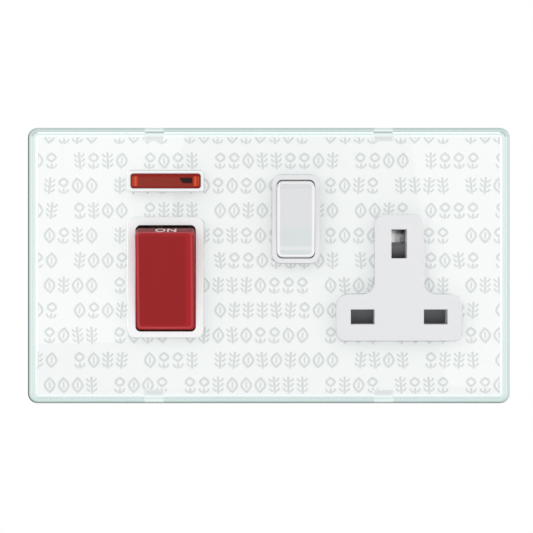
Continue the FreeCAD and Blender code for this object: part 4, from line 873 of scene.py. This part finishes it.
print("card has", len(card_mesh.polygons), "faces, and is", round(CARD_BACK - CARD_FRONT, 2), "mm thick")

# %% [markdown]
# ## The print
# The card carries rows of small light grey marks in groups, every second row set a little to the right. Here
# they are a generic trellis of leaves, sprigs and buds. Each mark is drawn once as a flat stroke, and
# Geometry Nodes sets one of the three on each place of a grid, leaving the gaps between groups free.


# %% Draw the three marks
def stroke_faces(work, points, width, closed, kind, layer):
    """A flat band of one width along some points, facing the viewer."""
    count = len(points)
    sides = []
    for index, point in enumerate(points):
        before = points[index - 1] if closed or index else point
        after = points[(index + 1) % count] if closed or index < count - 1 else point
        arrive, leave = (Vector(point) - Vector(before)), (Vector(after) - Vector(point))
        arrive = arrive.normalized() if arrive.length else leave.normalized()
        leave = leave.normalized() if leave.length else arrive
        normal = Vector((-(arrive + leave).y, (arrive + leave).x)).normalized()
        reach = width / 2 / max(0.5, normal.dot(Vector((-leave.y, leave.x))))
        across, up = reach * normal.x, reach * normal.y
        spots = [(point[0] + side * across, point[1] + side * up) for side in (-1, 1)]
        sides.append([work.verts.new((x * MM, 0, z * MM)) for x, z in spots])
    for index in range(count if closed else count - 1):
        a, b = sides[index], sides[(index + 1) % count]
        work.faces.new((a[0], b[0], b[1], a[1]))[layer] = kind


def pointed_oval(half_width, foot, tip, steps=6):
    """A closed outline with a point at each end."""
    right = [(half_width * math.sin(math.pi * step / steps), foot + (tip - foot) * step / steps)
             for step in range(steps + 1)]
    return right + [(-x, z) for x, z in reversed(right[1:-1])]


LEAF, SPRIG, BUD = range(3)
BOLD, MEDIUM, THIN = 0.7, 0.55, 0.5
drawn = bmesh.new()
kinds = drawn.faces.layers.int.new("kind")
stroke_faces(drawn, pointed_oval(1.5, -2.1, 2.1), BOLD, True, LEAF, kinds)
stroke_faces(drawn, [(0, -1.0), (0, 1.0)], THIN, False, LEAF, kinds)
stroke_faces(drawn, [(0, -2.6), (0, 2.6)], BOLD, False, SPRIG, kinds)
for mirror in (-1, 1):
    for low_z in (-1.9, -0.4, 1.1):
        twig = [(mirror * 0.5, low_z), (mirror * 1.15, low_z + 0.35), (mirror * 1.55, low_z + 1.0)]
        stroke_faces(drawn, twig[::mirror], MEDIUM, False, SPRIG, kinds)
    cup = [(mirror * 0.5, -2.2), (mirror * 1.2, -1.8), (mirror * 1.5, -1.0)]
    stroke_faces(drawn, cup[::mirror], MEDIUM, False, BUD, kinds)
stroke_faces(drawn, pointed_oval(1.3, -0.3, 2.2), BOLD, True, BUD, kinds)
stroke_faces(drawn, [(0, -2.6), (0, -0.95)], BOLD, False, BUD, kinds)
bmesh.ops.recalc_face_normals(drawn, faces=drawn.faces[:])
marks = mesh_of(drawn, "marks")
print(len(marks.polygons), "faces in three marks")

# %% Set out a grid of places, with gaps
rows_tree, given, result = geometry_tree(
    "printed rows", [("Rows", WHOLE, 11), ("Places", WHOLE, 36), ("Row Step", FLOAT, 0.0076),
                     ("Place Step", FLOAT, 0.004), ("Row Shift", FLOAT, 0.009), ("Start", VECTOR, None),
                     ("Group Length", FLOAT, 25.0), ("Seed", WHOLE, 3), ("Ink", MATERIAL, None)])


def step_vector(tree, x=0.0, z=0.0):
    vector = add(tree, "ShaderNodeCombineXYZ")
    feed(tree, vector.inputs["X"], x)
    feed(tree, vector.inputs["Z"], z)
    return vector.outputs[0]


row = add(rows_tree, "GeometryNodeMeshLine")
feed(rows_tree, row.inputs["Count"], given.outputs["Places"])
feed(rows_tree, row.inputs["Offset"], step_vector(rows_tree, x=given.outputs["Place Step"]))
starts = add(rows_tree, "GeometryNodeMeshLine")
feed(rows_tree, starts.inputs["Count"], given.outputs["Rows"])
feed(rows_tree, starts.inputs["Start Location"], given.outputs["Start"])
down = math_step(rows_tree, "MULTIPLY", given.outputs["Row Step"], -1.0)
feed(rows_tree, starts.inputs["Offset"], step_vector(rows_tree, z=down))
grid = add(rows_tree, "GeometryNodeInstanceOnPoints")
rows_tree.links.new(starts.outputs[0], grid.inputs["Points"])
rows_tree.links.new(row.outputs[0], grid.inputs["Instance"])
places = add(rows_tree, "GeometryNodeRealizeInstances")
rows_tree.links.new(grid.outputs[0], places.inputs[0])
number = add(rows_tree, "GeometryNodeInputIndex").outputs[0]
row_number = math_step(rows_tree, "FLOOR", math_step(rows_tree, "DIVIDE", number, given.outputs["Places"]))
in_row = math_step(rows_tree, "MODULO", number, given.outputs["Places"])
in_group = math_step(rows_tree, "MODULO", in_row, given.outputs["Group Length"])
odd = math_step(rows_tree, "MODULO", row_number, 2.0)
nudge = add(rows_tree, "GeometryNodeSetPosition")
rows_tree.links.new(places.outputs[0], nudge.inputs["Geometry"])
shift = math_step(rows_tree, "MULTIPLY", odd, given.outputs["Row Shift"])
feed(rows_tree, nudge.inputs["Offset"], step_vector(rows_tree, x=shift))
GAPS = (4.0, 9.0, 14.0, 24.0)
free = 0.0
for gap in GAPS:
    free = math_step(rows_tree, "ADD", free, math_step(rows_tree, "COMPARE", in_group, gap, 0.5))
kept = add(rows_tree, "GeometryNodeDeleteGeometry", domain="POINT")
rows_tree.links.new(nudge.outputs[0], kept.inputs["Geometry"])
feed(rows_tree, kept.inputs["Selection"], free)
print("each group leaves places", GAPS, "free")

# %% Stamp a mark on each place
LEAN = 0.12
kind = add(rows_tree, "GeometryNodeInputNamedAttribute", data_type="INT")
kind.inputs["Name"].default_value = "kind"
choices = add(rows_tree, "GeometryNodeJoinGeometry")
for which in (BUD, SPRIG, LEAF):
    same = add(rows_tree, "FunctionNodeCompare", data_type="INT", operation="EQUAL")
    rows_tree.links.new(kind.outputs["Attribute"], same.inputs[2])
    same.inputs[3].default_value = which
    one = add(rows_tree, "GeometryNodeSeparateGeometry", domain="FACE")
    rows_tree.links.new(given.outputs["Geometry"], one.inputs["Geometry"])
    rows_tree.links.new(same.outputs[0], one.inputs["Selection"])
    single = add(rows_tree, "GeometryNodeGeometryToInstance")
    rows_tree.links.new(one.outputs["Selection"], single.inputs[0])
    rows_tree.links.new(single.outputs[0], choices.inputs[0])
pick = add(rows_tree, "FunctionNodeRandomValue", data_type="INT")
pick.inputs["Min"].default_value = 0
pick.inputs[5].default_value = 2
feed(rows_tree, pick.inputs["Seed"], given.outputs["Seed"])
lean = add(rows_tree, "FunctionNodeRandomValue", data_type="FLOAT_VECTOR")
lean.inputs[0].default_value = (0, -LEAN, 0)
lean.inputs[1].default_value = (0, LEAN, 0)
feed(rows_tree, lean.inputs["Seed"], given.outputs["Seed"])
stamp = add(rows_tree, "GeometryNodeInstanceOnPoints")
rows_tree.links.new(kept.outputs[0], stamp.inputs["Points"])
rows_tree.links.new(choices.outputs[0], stamp.inputs["Instance"])
stamp.inputs["Pick Instance"].default_value = True
rows_tree.links.new(pick.outputs[2], stamp.inputs["Instance Index"])
rows_tree.links.new(lean.outputs[0], stamp.inputs["Rotation"])
finish_tree(rows_tree, stamp.outputs[0], given.outputs["Ink"], result)

# %% Print the rows
TOP_ROW_Z, ROW_STEP, PLACE_STEP, ROW_SHIFT, FIRST_X = 39.73, 7.632, 4.3, 9.2, -88.6
printed = grown_mesh(rows_tree, {"Rows": 11, "Places": 40, "Row Step": ROW_STEP * MM,
                                 "Place Step": PLACE_STEP * MM, "Row Shift": ROW_SHIFT * MM,
                                 "Start": (FIRST_X * MM, CARD_FRONT * MM, TOP_ROW_Z * MM),
                                 "Group Length": 25.0, "Seed": 5, "Ink": ink}, marks)
print("rows have", len(printed.polygons), "faces before they are trimmed")


# %% Cut along an outline
def cut_away(work, polygon, keep_inside=False):
    """Removes what lies inside a convex outline, or what lies outside it."""
    middle = sum((Vector(p) for p in polygon), Vector((0, 0))) / len(polygon)
    inside = work.faces[:]
    for index, point in enumerate(polygon):
        start, end = Vector(polygon[index - 1]), Vector(point)
        if (end - start).length < 1e-6:
            continue
        across = Vector((end.y - start.y, start.x - end.x)).normalized()
        across *= 1 if (start - middle).dot(across) > 0 else -1
        plane = Vector((start.x * MM, 0, start.y * MM))
        normal = Vector((across.x, 0, across.y))
        reach = [[(v.co - plane).dot(normal) for v in face.verts] for face in inside]
        crossing = [face for face, far in zip(inside, reach) if min(far) < -1e-9 and max(far) > 1e-9]
        within = [face for face, far in zip(inside, reach) if max(far) <= 1e-9]
        beyond = [face for face, far in zip(inside, reach) if min(far) >= -1e-9 and max(far) > 1e-9]
        parts = {v for face in crossing for v in face.verts} | {e for face in crossing for e in face.edges}
        cut = bmesh.ops.bisect_plane(work, geom=crossing + list(parts), plane_co=plane, plane_no=normal)
        halves = [g for g in cut["geom"] if isinstance(g, bmesh.types.BMFace)]
        far_half = [face for face in halves if (face.calc_center_median() - plane).dot(normal) > 0]
        within += [face for face in halves if (face.calc_center_median() - plane).dot(normal) <= 0]
        if keep_inside:
            bmesh.ops.delete(work, geom=far_half + beyond, context="FACES")
        inside = within
    if not keep_inside:
        bmesh.ops.delete(work, geom=inside, context="FACES")


# %% Trim the print
INK_GAP, FAN_RADIUS, FAN_STEPS = 0.1, 3.65, 6
work = bmesh.new()
work.from_mesh(printed)
trim_x, trim_z = CARD_HALF_X - CARD_SLACK, CARD_HALF_Z - CARD_SLACK
cut_away(work, [(-trim_x, -trim_z), (trim_x, -trim_z), (trim_x, trim_z), (-trim_x, trim_z)], keep_inside=True)
stem = (SOCKET_X, (STEM_TOP + BAR_FOOT) / 2, STEM_HALF * 2, STEM_TOP - BAR_FOOT, FOOT_CORNER)
arms = (SOCKET_X, (BAR_TOP + BAR_FOOT) / 2, BAR_HALF * 2, BAR_TOP - BAR_FOOT, FOOT_CORNER)
for x, z, width, height, corner in BEZELS + [stem, arms]:
    cut_away(work, rounded_box(x, z, width, height, corner, grow=INK_GAP))
for side in (-1, 1):
    for step in range(FAN_STEPS):
        fan = []
        for angle in (math.pi / 2 / FAN_STEPS * step, math.pi / 2 / FAN_STEPS * (step + 1)):
            fan.append((SOCKET_X + side * (STEM_HALF + ARM_CORNER - FAN_RADIUS * math.cos(angle)),
                        BAR_TOP + ARM_CORNER - FAN_RADIUS * math.sin(angle)))
        cut_away(work, [(SOCKET_X + side * STEM_HALF, BAR_TOP)] + fan)
    for clip in (-CLIP_X, CLIP_X):
        low_z, high_z = sorted((side * (NOTCH_Z - INK_GAP), side * (CARD_HALF_Z + 1)))
        half = NOTCH_HALF + INK_GAP
        notch = [(clip - half, low_z), (clip + half, low_z), (clip + half, high_z), (clip - half, high_z)]
        cut_away(work, notch)
print("trimmed rows have", len(work.faces), "faces")

# %% Give the ink its thickness
def fix_order(work):
    """Sorts faces by their corners, because extrusion leaves its walls in no fixed order."""
    work.verts.index_update()
    by_corners = sorted(work.faces, key=lambda face: sorted(vertex.index for vertex in face.verts))
    for rank, face in enumerate(by_corners):
        face.index = rank
    work.faces.sort()


INK_THICK = 0.02
bmesh.ops.dissolve_degenerate(work, dist=0.002 * MM, edges=work.edges[:])
bmesh.ops.delete(work, geom=[e for e in work.edges if not e.link_faces], context="EDGES")
bmesh.ops.delete(work, geom=[v for v in work.verts if not v.link_faces], context="VERTS")
raised = bmesh.ops.extrude_face_region(work, geom=work.faces[:], use_keep_orig=True)
lifted = [g for g in raised["geom"] if isinstance(g, bmesh.types.BMVert)]
bmesh.ops.translate(work, verts=lifted, vec=(0, -INK_THICK * MM, 0))
bmesh.ops.recalc_face_normals(work, faces=work.faces[:])
fix_order(work)
inked = mesh_of(work, "printed marks")
place_piece("printed_marks", inked, "front_plate", "paper_print", ink)
print("print has", len(inked.polygons), "faces")

# %% [markdown]
# ## The word on the rocker
# The rocker's upper end carries the usual two-letter word for a closed switch, printed in white. It wraps
# round the end, which is part of a cylinder about the pivot. The text is made flat, cut into strips so that
# it can bend, and then rolled onto that cylinder. The rocker rests with its upper end out, so the word is
# seen at a slant.

# %% Rocker print
RED_PIVOT, END_RADIUS, WORD_STRIPS = (-3.4, -3.9), 15.85, 8
WORD_WIDTH, WORD_TOP, WORD_FOOT, WORD_X = 6.4, math.radians(18.6), math.radians(28.1), -31.1
word = bpy.data.curves.new("rocker word", "FONT")
word.body = "ON"
word.size = 1.0
word.extrude = 0.01
word.space_character = 1.06
word.offset = 0.018
word.resolution_u = 6
work = bmesh.new()
work.from_mesh(plain_mesh(bpy.data.objects.new("rocker word", word)))
bmesh.ops.remove_doubles(work, verts=work.verts[:], dist=1e-5)
low = Vector([min(v.co[k] for v in work.verts) for k in range(3)])
high = Vector([max(v.co[k] for v in work.verts) for k in range(3)])
for step in range(1, WORD_STRIPS):
    height = low.y + (high.y - low.y) * step / WORD_STRIPS
    bmesh.ops.bisect_plane(work, geom=work.verts[:] + work.edges[:] + work.faces[:],
                           plane_co=(0, height, 0), plane_no=(0, 1, 0))
for vertex in work.verts:
    across = ((vertex.co.x - low.x) / (high.x - low.x) - 0.5) * WORD_WIDTH
    angle = WORD_FOOT + (WORD_TOP - WORD_FOOT) * (vertex.co.y - low.y) / (high.y - low.y)
    radius = END_RADIUS + 0.01 + 0.03 * (vertex.co.z - low.z) / (high.z - low.z)
    forward = RED_PIVOT[0] - radius * math.sin(angle)
    upward = RED_PIVOT[1] + radius * math.cos(angle)
    vertex.co = Vector((WORD_X + across, forward, upward)) * MM
bmesh.ops.recalc_face_normals(work, faces=work.faces[:])
lettering = mesh_of(work, "rocker word")
# Painted shade: the white ink is toned down to a pinkish grey, as it lies on the rocker's dim end.
white_ink = plastic("white ink", (0.86, 0.72, 0.72, 1), low=0.3, high=0.45)
place_piece("rocker_word", lettering, "cooker_rocker", "red_moulding", white_ink)
print("word has", len(lettering.polygons), "faces")

# %% [markdown]
# ## The small rocker's face
# The white rocker fills its opening almost completely: its pressing face is a shallow dish inside a rounded
# lip, and the lip's ends follow the circle that the rocker swings on. The CAD has a plain chamfered block.
# The dished face and its skirt are lofted here from rounded rings, each a little further out or in than the
# last, the inside is cut out the same way, and the result is joined to the CAD rocker's body, which keeps its
# trunnions and its stem.


# %% Ways to loft and combine
def rocker_ring(depth, half, end_radius, corner):
    """A rounded ring at a local depth, whose ends stand on the circle of the rocker's swing."""
    reach = math.sqrt(end_radius ** 2 - depth ** 2)
    return [(x, depth, z) for x, z in rounded_box(0, 0, 2 * half, 2 * reach, corner)]


def lofted_mesh(rings):
    """A closed shape through rings with the same number of points."""
    work = bmesh.new()
    rows = [[work.verts.new(Vector(point) * MM) for point in ring] for ring in rings]
    for a, b in zip(rows, rows[1:]):
        for i in range(len(a)):
            j = (i + 1) % len(a)
            work.faces.new((a[i], a[j], b[j], b[i]))
    work.faces.new(rows[0])
    work.faces.new(rows[-1])
    bmesh.ops.recalc_face_normals(work, faces=work.faces[:])
    return mesh_of(work, "loft")


def combined(mesh, other, operation):
    """Two closed shapes joined, or the second cut out of the first."""
    tool = in_scene("tool", other)
    holder = bpy.data.objects.new("holder", mesh)
    step = holder.modifiers.new("combine", "BOOLEAN")
    step.operation = operation
    step.solver = "EXACT"
    step.object = tool
    made = plain_mesh(holder)
    bpy.data.objects.remove(tool)
    return made


def rocker_place(x, pivot, swing):
    """From a rocker's own axes to where it rests."""
    return Matrix.Translation(Vector((x, *pivot)) * MM) @ Matrix.Rotation(math.radians(swing), 4, "X")


# %% Loft the dished face
SMALL_X, SMALL_PIVOT, SMALL_SWING = 8.2, (-3.6, 14.1), 8
SMALL_ROCKER = rocker_place(SMALL_X, SMALL_PIVOT, SMALL_SWING)
SKIRT = [(1.0 - 0.7 * step, 5.74, 11.89, 1.75) for step in range(8)]
LIP = [(-4.55, 5.71, 11.86, 1.75), (-4.78, 5.53, 11.72, 1.65), (-4.86, 5.30, 11.58, 1.5),
       (-4.84, 5.12, 11.44, 1.4), (-4.74, 4.97, 11.3, 1.25), (-4.66, 4.85, 11.18, 1.15),
       (-4.63, 4.5, 10.9, 0.9)]
HOLLOW = [(1.5 - 0.75 * step, 4.8, 10.9, 1.0) for step in range(7)]
face_part = combined(lofted_mesh([rocker_ring(*ring) for ring in SKIRT + LIP]),
                     lofted_mesh([rocker_ring(*ring) for ring in HOLLOW]), "DIFFERENCE")
face_part.transform(SMALL_ROCKER)
body_part = tidy_mesh(nodes["socket_rocker"].data.copy())
dished = tidy_mesh(combined(body_part, face_part, "UNION"))
place_piece("socket_rocker_dished", dished, "socket_rocker", "white_moulding", white_rocker, "socket_rocker")
print("dished rocker has", len(dished.polygons), "faces")

# %% [markdown]
# ## Springs
# Four small springs work the switches and the shutter. Each is wound from thin round steel wire, with its end
# turns laid flat so that it stands straight. The CAD has square wire in straight steps for them. Here a
# spiral curve with no height gets its rise from a rule on how far along it each point is, and a small circle
# is swept along it.

# %% Spring tree
spring_tree, given, result = geometry_tree(
    "wound spring", [("Coil Radius", FLOAT, 0.001), ("Wire Radius", FLOAT, 0.0002), ("Height", FLOAT, 0.006),
                     ("Turns", FLOAT, 5.0), ("Finish", MATERIAL, None)])
spiral = add(spring_tree, "GeometryNodeCurveSpiral")
spiral.inputs["Resolution"].default_value = 24
feed(spring_tree, spiral.inputs["Rotations"], given.outputs["Turns"])
for end in ("Start Radius", "End Radius"):
    feed(spring_tree, spiral.inputs[end], given.outputs["Coil Radius"])
spiral.inputs["Height"].default_value = 0
along = add(spring_tree, "GeometryNodeSplineParameter").outputs["Factor"]
turn = math_step(spring_tree, "MULTIPLY", along, given.outputs["Turns"])
wire = math_step(spring_tree, "MULTIPLY", given.outputs["Wire Radius"], 2.0)
first = math_step(spring_tree, "MINIMUM", turn, 1.0)
last_turn = math_step(spring_tree, "SUBTRACT", given.outputs["Turns"], 1.0)
last = math_step(spring_tree, "MAXIMUM", math_step(spring_tree, "SUBTRACT", turn, last_turn), 0.0)
flat_rise = math_step(spring_tree, "MULTIPLY", math_step(spring_tree, "ADD", first, last), wire)
middle = add(spring_tree, "ShaderNodeMapRange")
feed(spring_tree, middle.inputs["Value"], turn)
middle.inputs["From Min"].default_value = 1.0
feed(spring_tree, middle.inputs["From Max"], last_turn)
flat_wires = math_step(spring_tree, "MULTIPLY", wire, 3.0)
open_height = math_step(spring_tree, "SUBTRACT", given.outputs["Height"], flat_wires)
open_rise = math_step(spring_tree, "MULTIPLY", middle.outputs[0], open_height)
rise = math_step(spring_tree, "ADD", flat_rise, open_rise)
lift = add(spring_tree, "GeometryNodeSetPosition")
spring_tree.links.new(spiral.outputs[0], lift.inputs["Geometry"])
height = math_step(spring_tree, "ADD", rise, given.outputs["Wire Radius"])
feed(spring_tree, lift.inputs["Offset"], step_vector(spring_tree, z=height))
round_wire = add(spring_tree, "GeometryNodeCurvePrimitiveCircle")
round_wire.inputs["Resolution"].default_value = 10
feed(spring_tree, round_wire.inputs["Radius"], given.outputs["Wire Radius"])
swept = add(spring_tree, "GeometryNodeCurveToMesh")
spring_tree.links.new(lift.outputs[0], swept.inputs["Curve"])
spring_tree.links.new(round_wire.outputs[0], swept.inputs["Profile Curve"])
swept.inputs["Fill Caps"].default_value = True
finish_tree(spring_tree, swept.outputs[0], given.outputs["Finish"], result)


# %% Set the springs in place
def spring_piece(name, body, replaced, foot, coil_radius, height, turns, place):
    """A spring along +Z from its foot, put in place by a matrix."""
    mesh = grown_mesh(spring_tree, {"Coil Radius": coil_radius * MM, "Wire Radius": WIRE_RADIUS * MM,
                                    "Height": height * MM, "Turns": turns, "Finish": wire_steel})
    whole = place @ Matrix.Translation(Vector(foot) * MM)
    mesh.transform(whole)
    piece = place_piece(name, tidy_mesh(mesh), body, "spring_steel", wire_steel, replaced)
    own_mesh(piece)
    compare(piece, replaced)


WIRE_RADIUS, RED_SWING, PLUNGER_TRAVEL, SHUTTER_TRAVEL = 0.22, 9, 1.0, 5.9
INWARDS = Matrix.Rotation(math.radians(-90), 4, "X")
for pole, x in (("neutral", -36.35), ("line", -26.35)):
    resting = rocker_place(x, RED_PIVOT, RED_SWING) @ INWARDS
    spring_piece(f"cooker_{pole}_coil", "cooker_rocker", f"cooker_{pole}_spring", (0, 0, -2.0), 1.1, 7.25,
                 5.0, resting)
spring_piece("socket_plunger_coil", "socket_rocker", "socket_plunger_spring", (0, 0, -1.5), 0.85, 6.0, 5.0,
             SMALL_ROCKER @ INWARDS)
spring_piece("shutter_coil", "unit", "shutter_spring", (SOCKET_X, 4.5, -19.6), 1.25, 15.6, 8.0,
             Matrix.Identity(4))

# %% [markdown]
# ## Screws
# The unit is held by two long machine screws, and its cables by short clamp screws. The CAD keeps them plain,
# with no thread and no slot. A thread is a wave on a cylinder: its radius grows and shrinks along the length,
# and each turn shifts the wave by one pitch. So the tree starts from a fine cylinder and moves its points in
# by that rule. The heads are turned on a lathe: a profile is spun round, and the screwdriver's slot is cut
# out of the end.

# %% Thread tree
thread_tree, given, result = geometry_tree(
    "screw thread", [("Radius", FLOAT, 0.00175), ("Length", FLOAT, 0.02), ("Pitch", FLOAT, 0.0007),
                     ("Depth", FLOAT, 0.0003), ("Steps", WHOLE, 200), ("Finish", MATERIAL, None)])
shank = add(thread_tree, "GeometryNodeMeshCylinder")
shank.inputs["Vertices"].default_value = 20
feed(thread_tree, shank.inputs["Side Segments"], given.outputs["Steps"])
feed(thread_tree, shank.inputs["Radius"], given.outputs["Radius"])
feed(thread_tree, shank.inputs["Depth"], given.outputs["Length"])
where = add(thread_tree, "GeometryNodeInputPosition")
x, y, z = (part_of(thread_tree, where.outputs[0], axis) for axis in "XYZ")
around = math_step(thread_tree, "DIVIDE", math_step(thread_tree, "ARCTAN2", y, x), 2 * math.pi)
along = math_step(thread_tree, "DIVIDE", z, given.outputs["Pitch"])
wave = math_step(thread_tree, "PINGPONG", math_step(thread_tree, "ADD", around, along), 0.5)
full_wave = math_step(thread_tree, "MULTIPLY", wave, 2.0)
cut = math_step(thread_tree, "MULTIPLY", full_wave, given.outputs["Depth"])
share = math_step(thread_tree, "DIVIDE", cut, given.outputs["Radius"])
shrink = math_step(thread_tree, "SUBTRACT", 1.0, share)
ring = add(thread_tree, "ShaderNodeCombineXYZ")
feed(thread_tree, ring.inputs["X"], math_step(thread_tree, "MULTIPLY", x, shrink))
feed(thread_tree, ring.inputs["Y"], math_step(thread_tree, "MULTIPLY", y, shrink))
feed(thread_tree, ring.inputs["Z"], z)
move = add(thread_tree, "GeometryNodeSetPosition")
thread_tree.links.new(shank.outputs[0], move.inputs["Geometry"])
feed(thread_tree, move.inputs["Position"], ring.outputs[0])
finish_tree(thread_tree, move.outputs[0], given.outputs["Finish"], result)


# %% Screw heads
def turned_mesh(profile, around=32):
    """A closed turned shape from (radius, z) pairs that start and end on the axis."""
    work = bmesh.new()
    rings = []
    for radius, z in profile:
        angles = [2 * math.pi * i / around for i in range(around if radius else 1)]
        rings.append([work.verts.new((radius * MM * math.cos(angle), radius * MM * math.sin(angle), z * MM))
                      for angle in angles])
    for a, b in zip(rings, rings[1:]):
        for i in range(around):
            j = (i + 1) % around
            corners = [a[i % len(a)], a[j % len(a)], b[j % len(b)], b[i % len(b)]]
            work.faces.new([v for k, v in enumerate(corners) if v not in corners[:k]])
    bmesh.ops.recalc_face_normals(work, faces=work.faces[:])
    return mesh_of(work, "turned")


def box_mesh(low, high):
    work = bmesh.new()
    bmesh.ops.create_cube(work, size=1)
    for vertex in work.verts:
        vertex.co = [(low[k] + (high[k] - low[k]) * (vertex.co[k] + 0.5)) * MM for k in range(3)]
    return mesh_of(work, "box")


def slotted_screw(radius, head, slot_width, slot_depth, length, pitch):
    """A screw along +Z whose head starts at z 0. The head is (radius, z) pairs down to the shank."""
    neck = head[-1][1]
    reach = max(r for r, z in head) + 1
    slot = box_mesh((-reach, -slot_width / 2, -1), (reach, slot_width / 2, slot_depth))
    slotted = combined(turned_mesh([(0, 0)] + head + [(0, neck)]), slot, "DIFFERENCE")
    thread = grown_mesh(thread_tree, {"Radius": radius * MM, "Length": (length - neck) * MM,
                                      "Pitch": pitch * MM, "Depth": THREAD_DEPTH * pitch * MM,
                                      "Steps": round((length - neck) / pitch * THREAD_STEPS),
                                      "Finish": steel})
    thread.transform(Matrix.Translation((0, 0, (neck + (length - neck) / 2) * MM)))
    return combined(slotted, tidy_mesh(thread), "UNION")


THREAD_DEPTH, THREAD_STEPS = 0.32, 6
box_screw = slotted_screw(1.74, [(3.1, 0), (3.24, 0.07), (1.74, 1.5)], 0.9, 0.8, 30.0, 0.7)
clamp_head = [(1.9, 0), (2.08, 0.18), (2.08, 1.15)]
cooker_screw = slotted_screw(2.08, clamp_head, 0.7, 0.8, 2.94, 0.6)
earth_screw = slotted_screw(2.08, clamp_head, 0.7, 0.8, 3.34, 0.6)
print("screws of", [len(screw.polygons) for screw in (box_screw, cooker_screw, earth_screw)], "faces")

# %% Tree that puts screws on their places
places_tree, given, result = geometry_tree(
    "screws on places", [("Places", GEOMETRY, None), ("Seed", WHOLE, 2), ("Finish", MATERIAL, None)])
spin = add(places_tree, "FunctionNodeRandomValue", data_type="FLOAT_VECTOR")
spin.inputs[0].default_value = (0, 0, 0)
spin.inputs[1].default_value = (0, 0, 3.14)
feed(places_tree, spin.inputs["Seed"], given.outputs["Seed"])
set_out = add(places_tree, "GeometryNodeInstanceOnPoints")
corner = add(places_tree, "GeometryNodeSeparateGeometry", domain="POINT")
marked = add(places_tree, "GeometryNodeInputNamedAttribute", data_type="BOOLEAN")
marked.inputs["Name"].default_value = "place"
places_tree.links.new(given.outputs["Geometry"], corner.inputs["Geometry"])
places_tree.links.new(marked.outputs["Attribute"], corner.inputs["Selection"])
places_tree.links.new(corner.outputs["Selection"], set_out.inputs["Points"])
places_tree.links.new(corner.outputs["Inverted"], set_out.inputs["Instance"])
places_tree.links.new(spin.outputs[0], set_out.inputs["Rotation"])
finish_tree(places_tree, set_out.outputs[0], given.outputs["Finish"], result)


# %% Put screws on their places
def screws_piece(name, screw, spots, turn, depth, node):
    """Copies of one screw on (x, z) spots, turned to run inwards or outwards from a depth."""
    work = bmesh.new()
    work.from_mesh(screw)
    layer = work.verts.layers.bool.new("place")
    for x, z in spots:
        work.verts.new((x * MM, (-z if turn < 0 else z) * MM, 0))[layer] = True
    seed = mesh_of(work, "screw and places")
    mesh = grown_mesh(places_tree, {"Seed": 4, "Finish": steel}, seed)
    mesh.transform(Matrix.Translation((0, depth * MM, 0)) @ Matrix.Rotation(math.radians(turn), 4, "X"))
    piece = place_piece(name, tidy_mesh(mesh), "unit", "screw_steel", steel, node)
    print(name, "has", len(mesh.polygons), "faces")
    compare(piece, node)


BOX_HEAD_FACE, CLAMP_Z, CLAMP_FACE = -1.5, 23.75, 26.08
BOX_SPOTS = [(-60.3, 0), (60.3, 0)]
CLAMP_SPOTS = [(x, z) for x in (-38.85, -23.85) for z in (-CLAMP_Z, CLAMP_Z)]
EARTH_SPOTS = [(35.6, CLAMP_Z), (43.6, CLAMP_Z)]
screws_piece("box_screw_pair", box_screw, BOX_SPOTS, -90, BOX_HEAD_FACE, "box_screws")
screws_piece("cooker_clamp_screws", cooker_screw, CLAMP_SPOTS, 90, CLAMP_FACE, "cooker_terminal_screws")
screws_piece("earth_clamp_screws", earth_screw, EARTH_SPOTS, 90, CLAMP_FACE, "earth_terminal_screws")
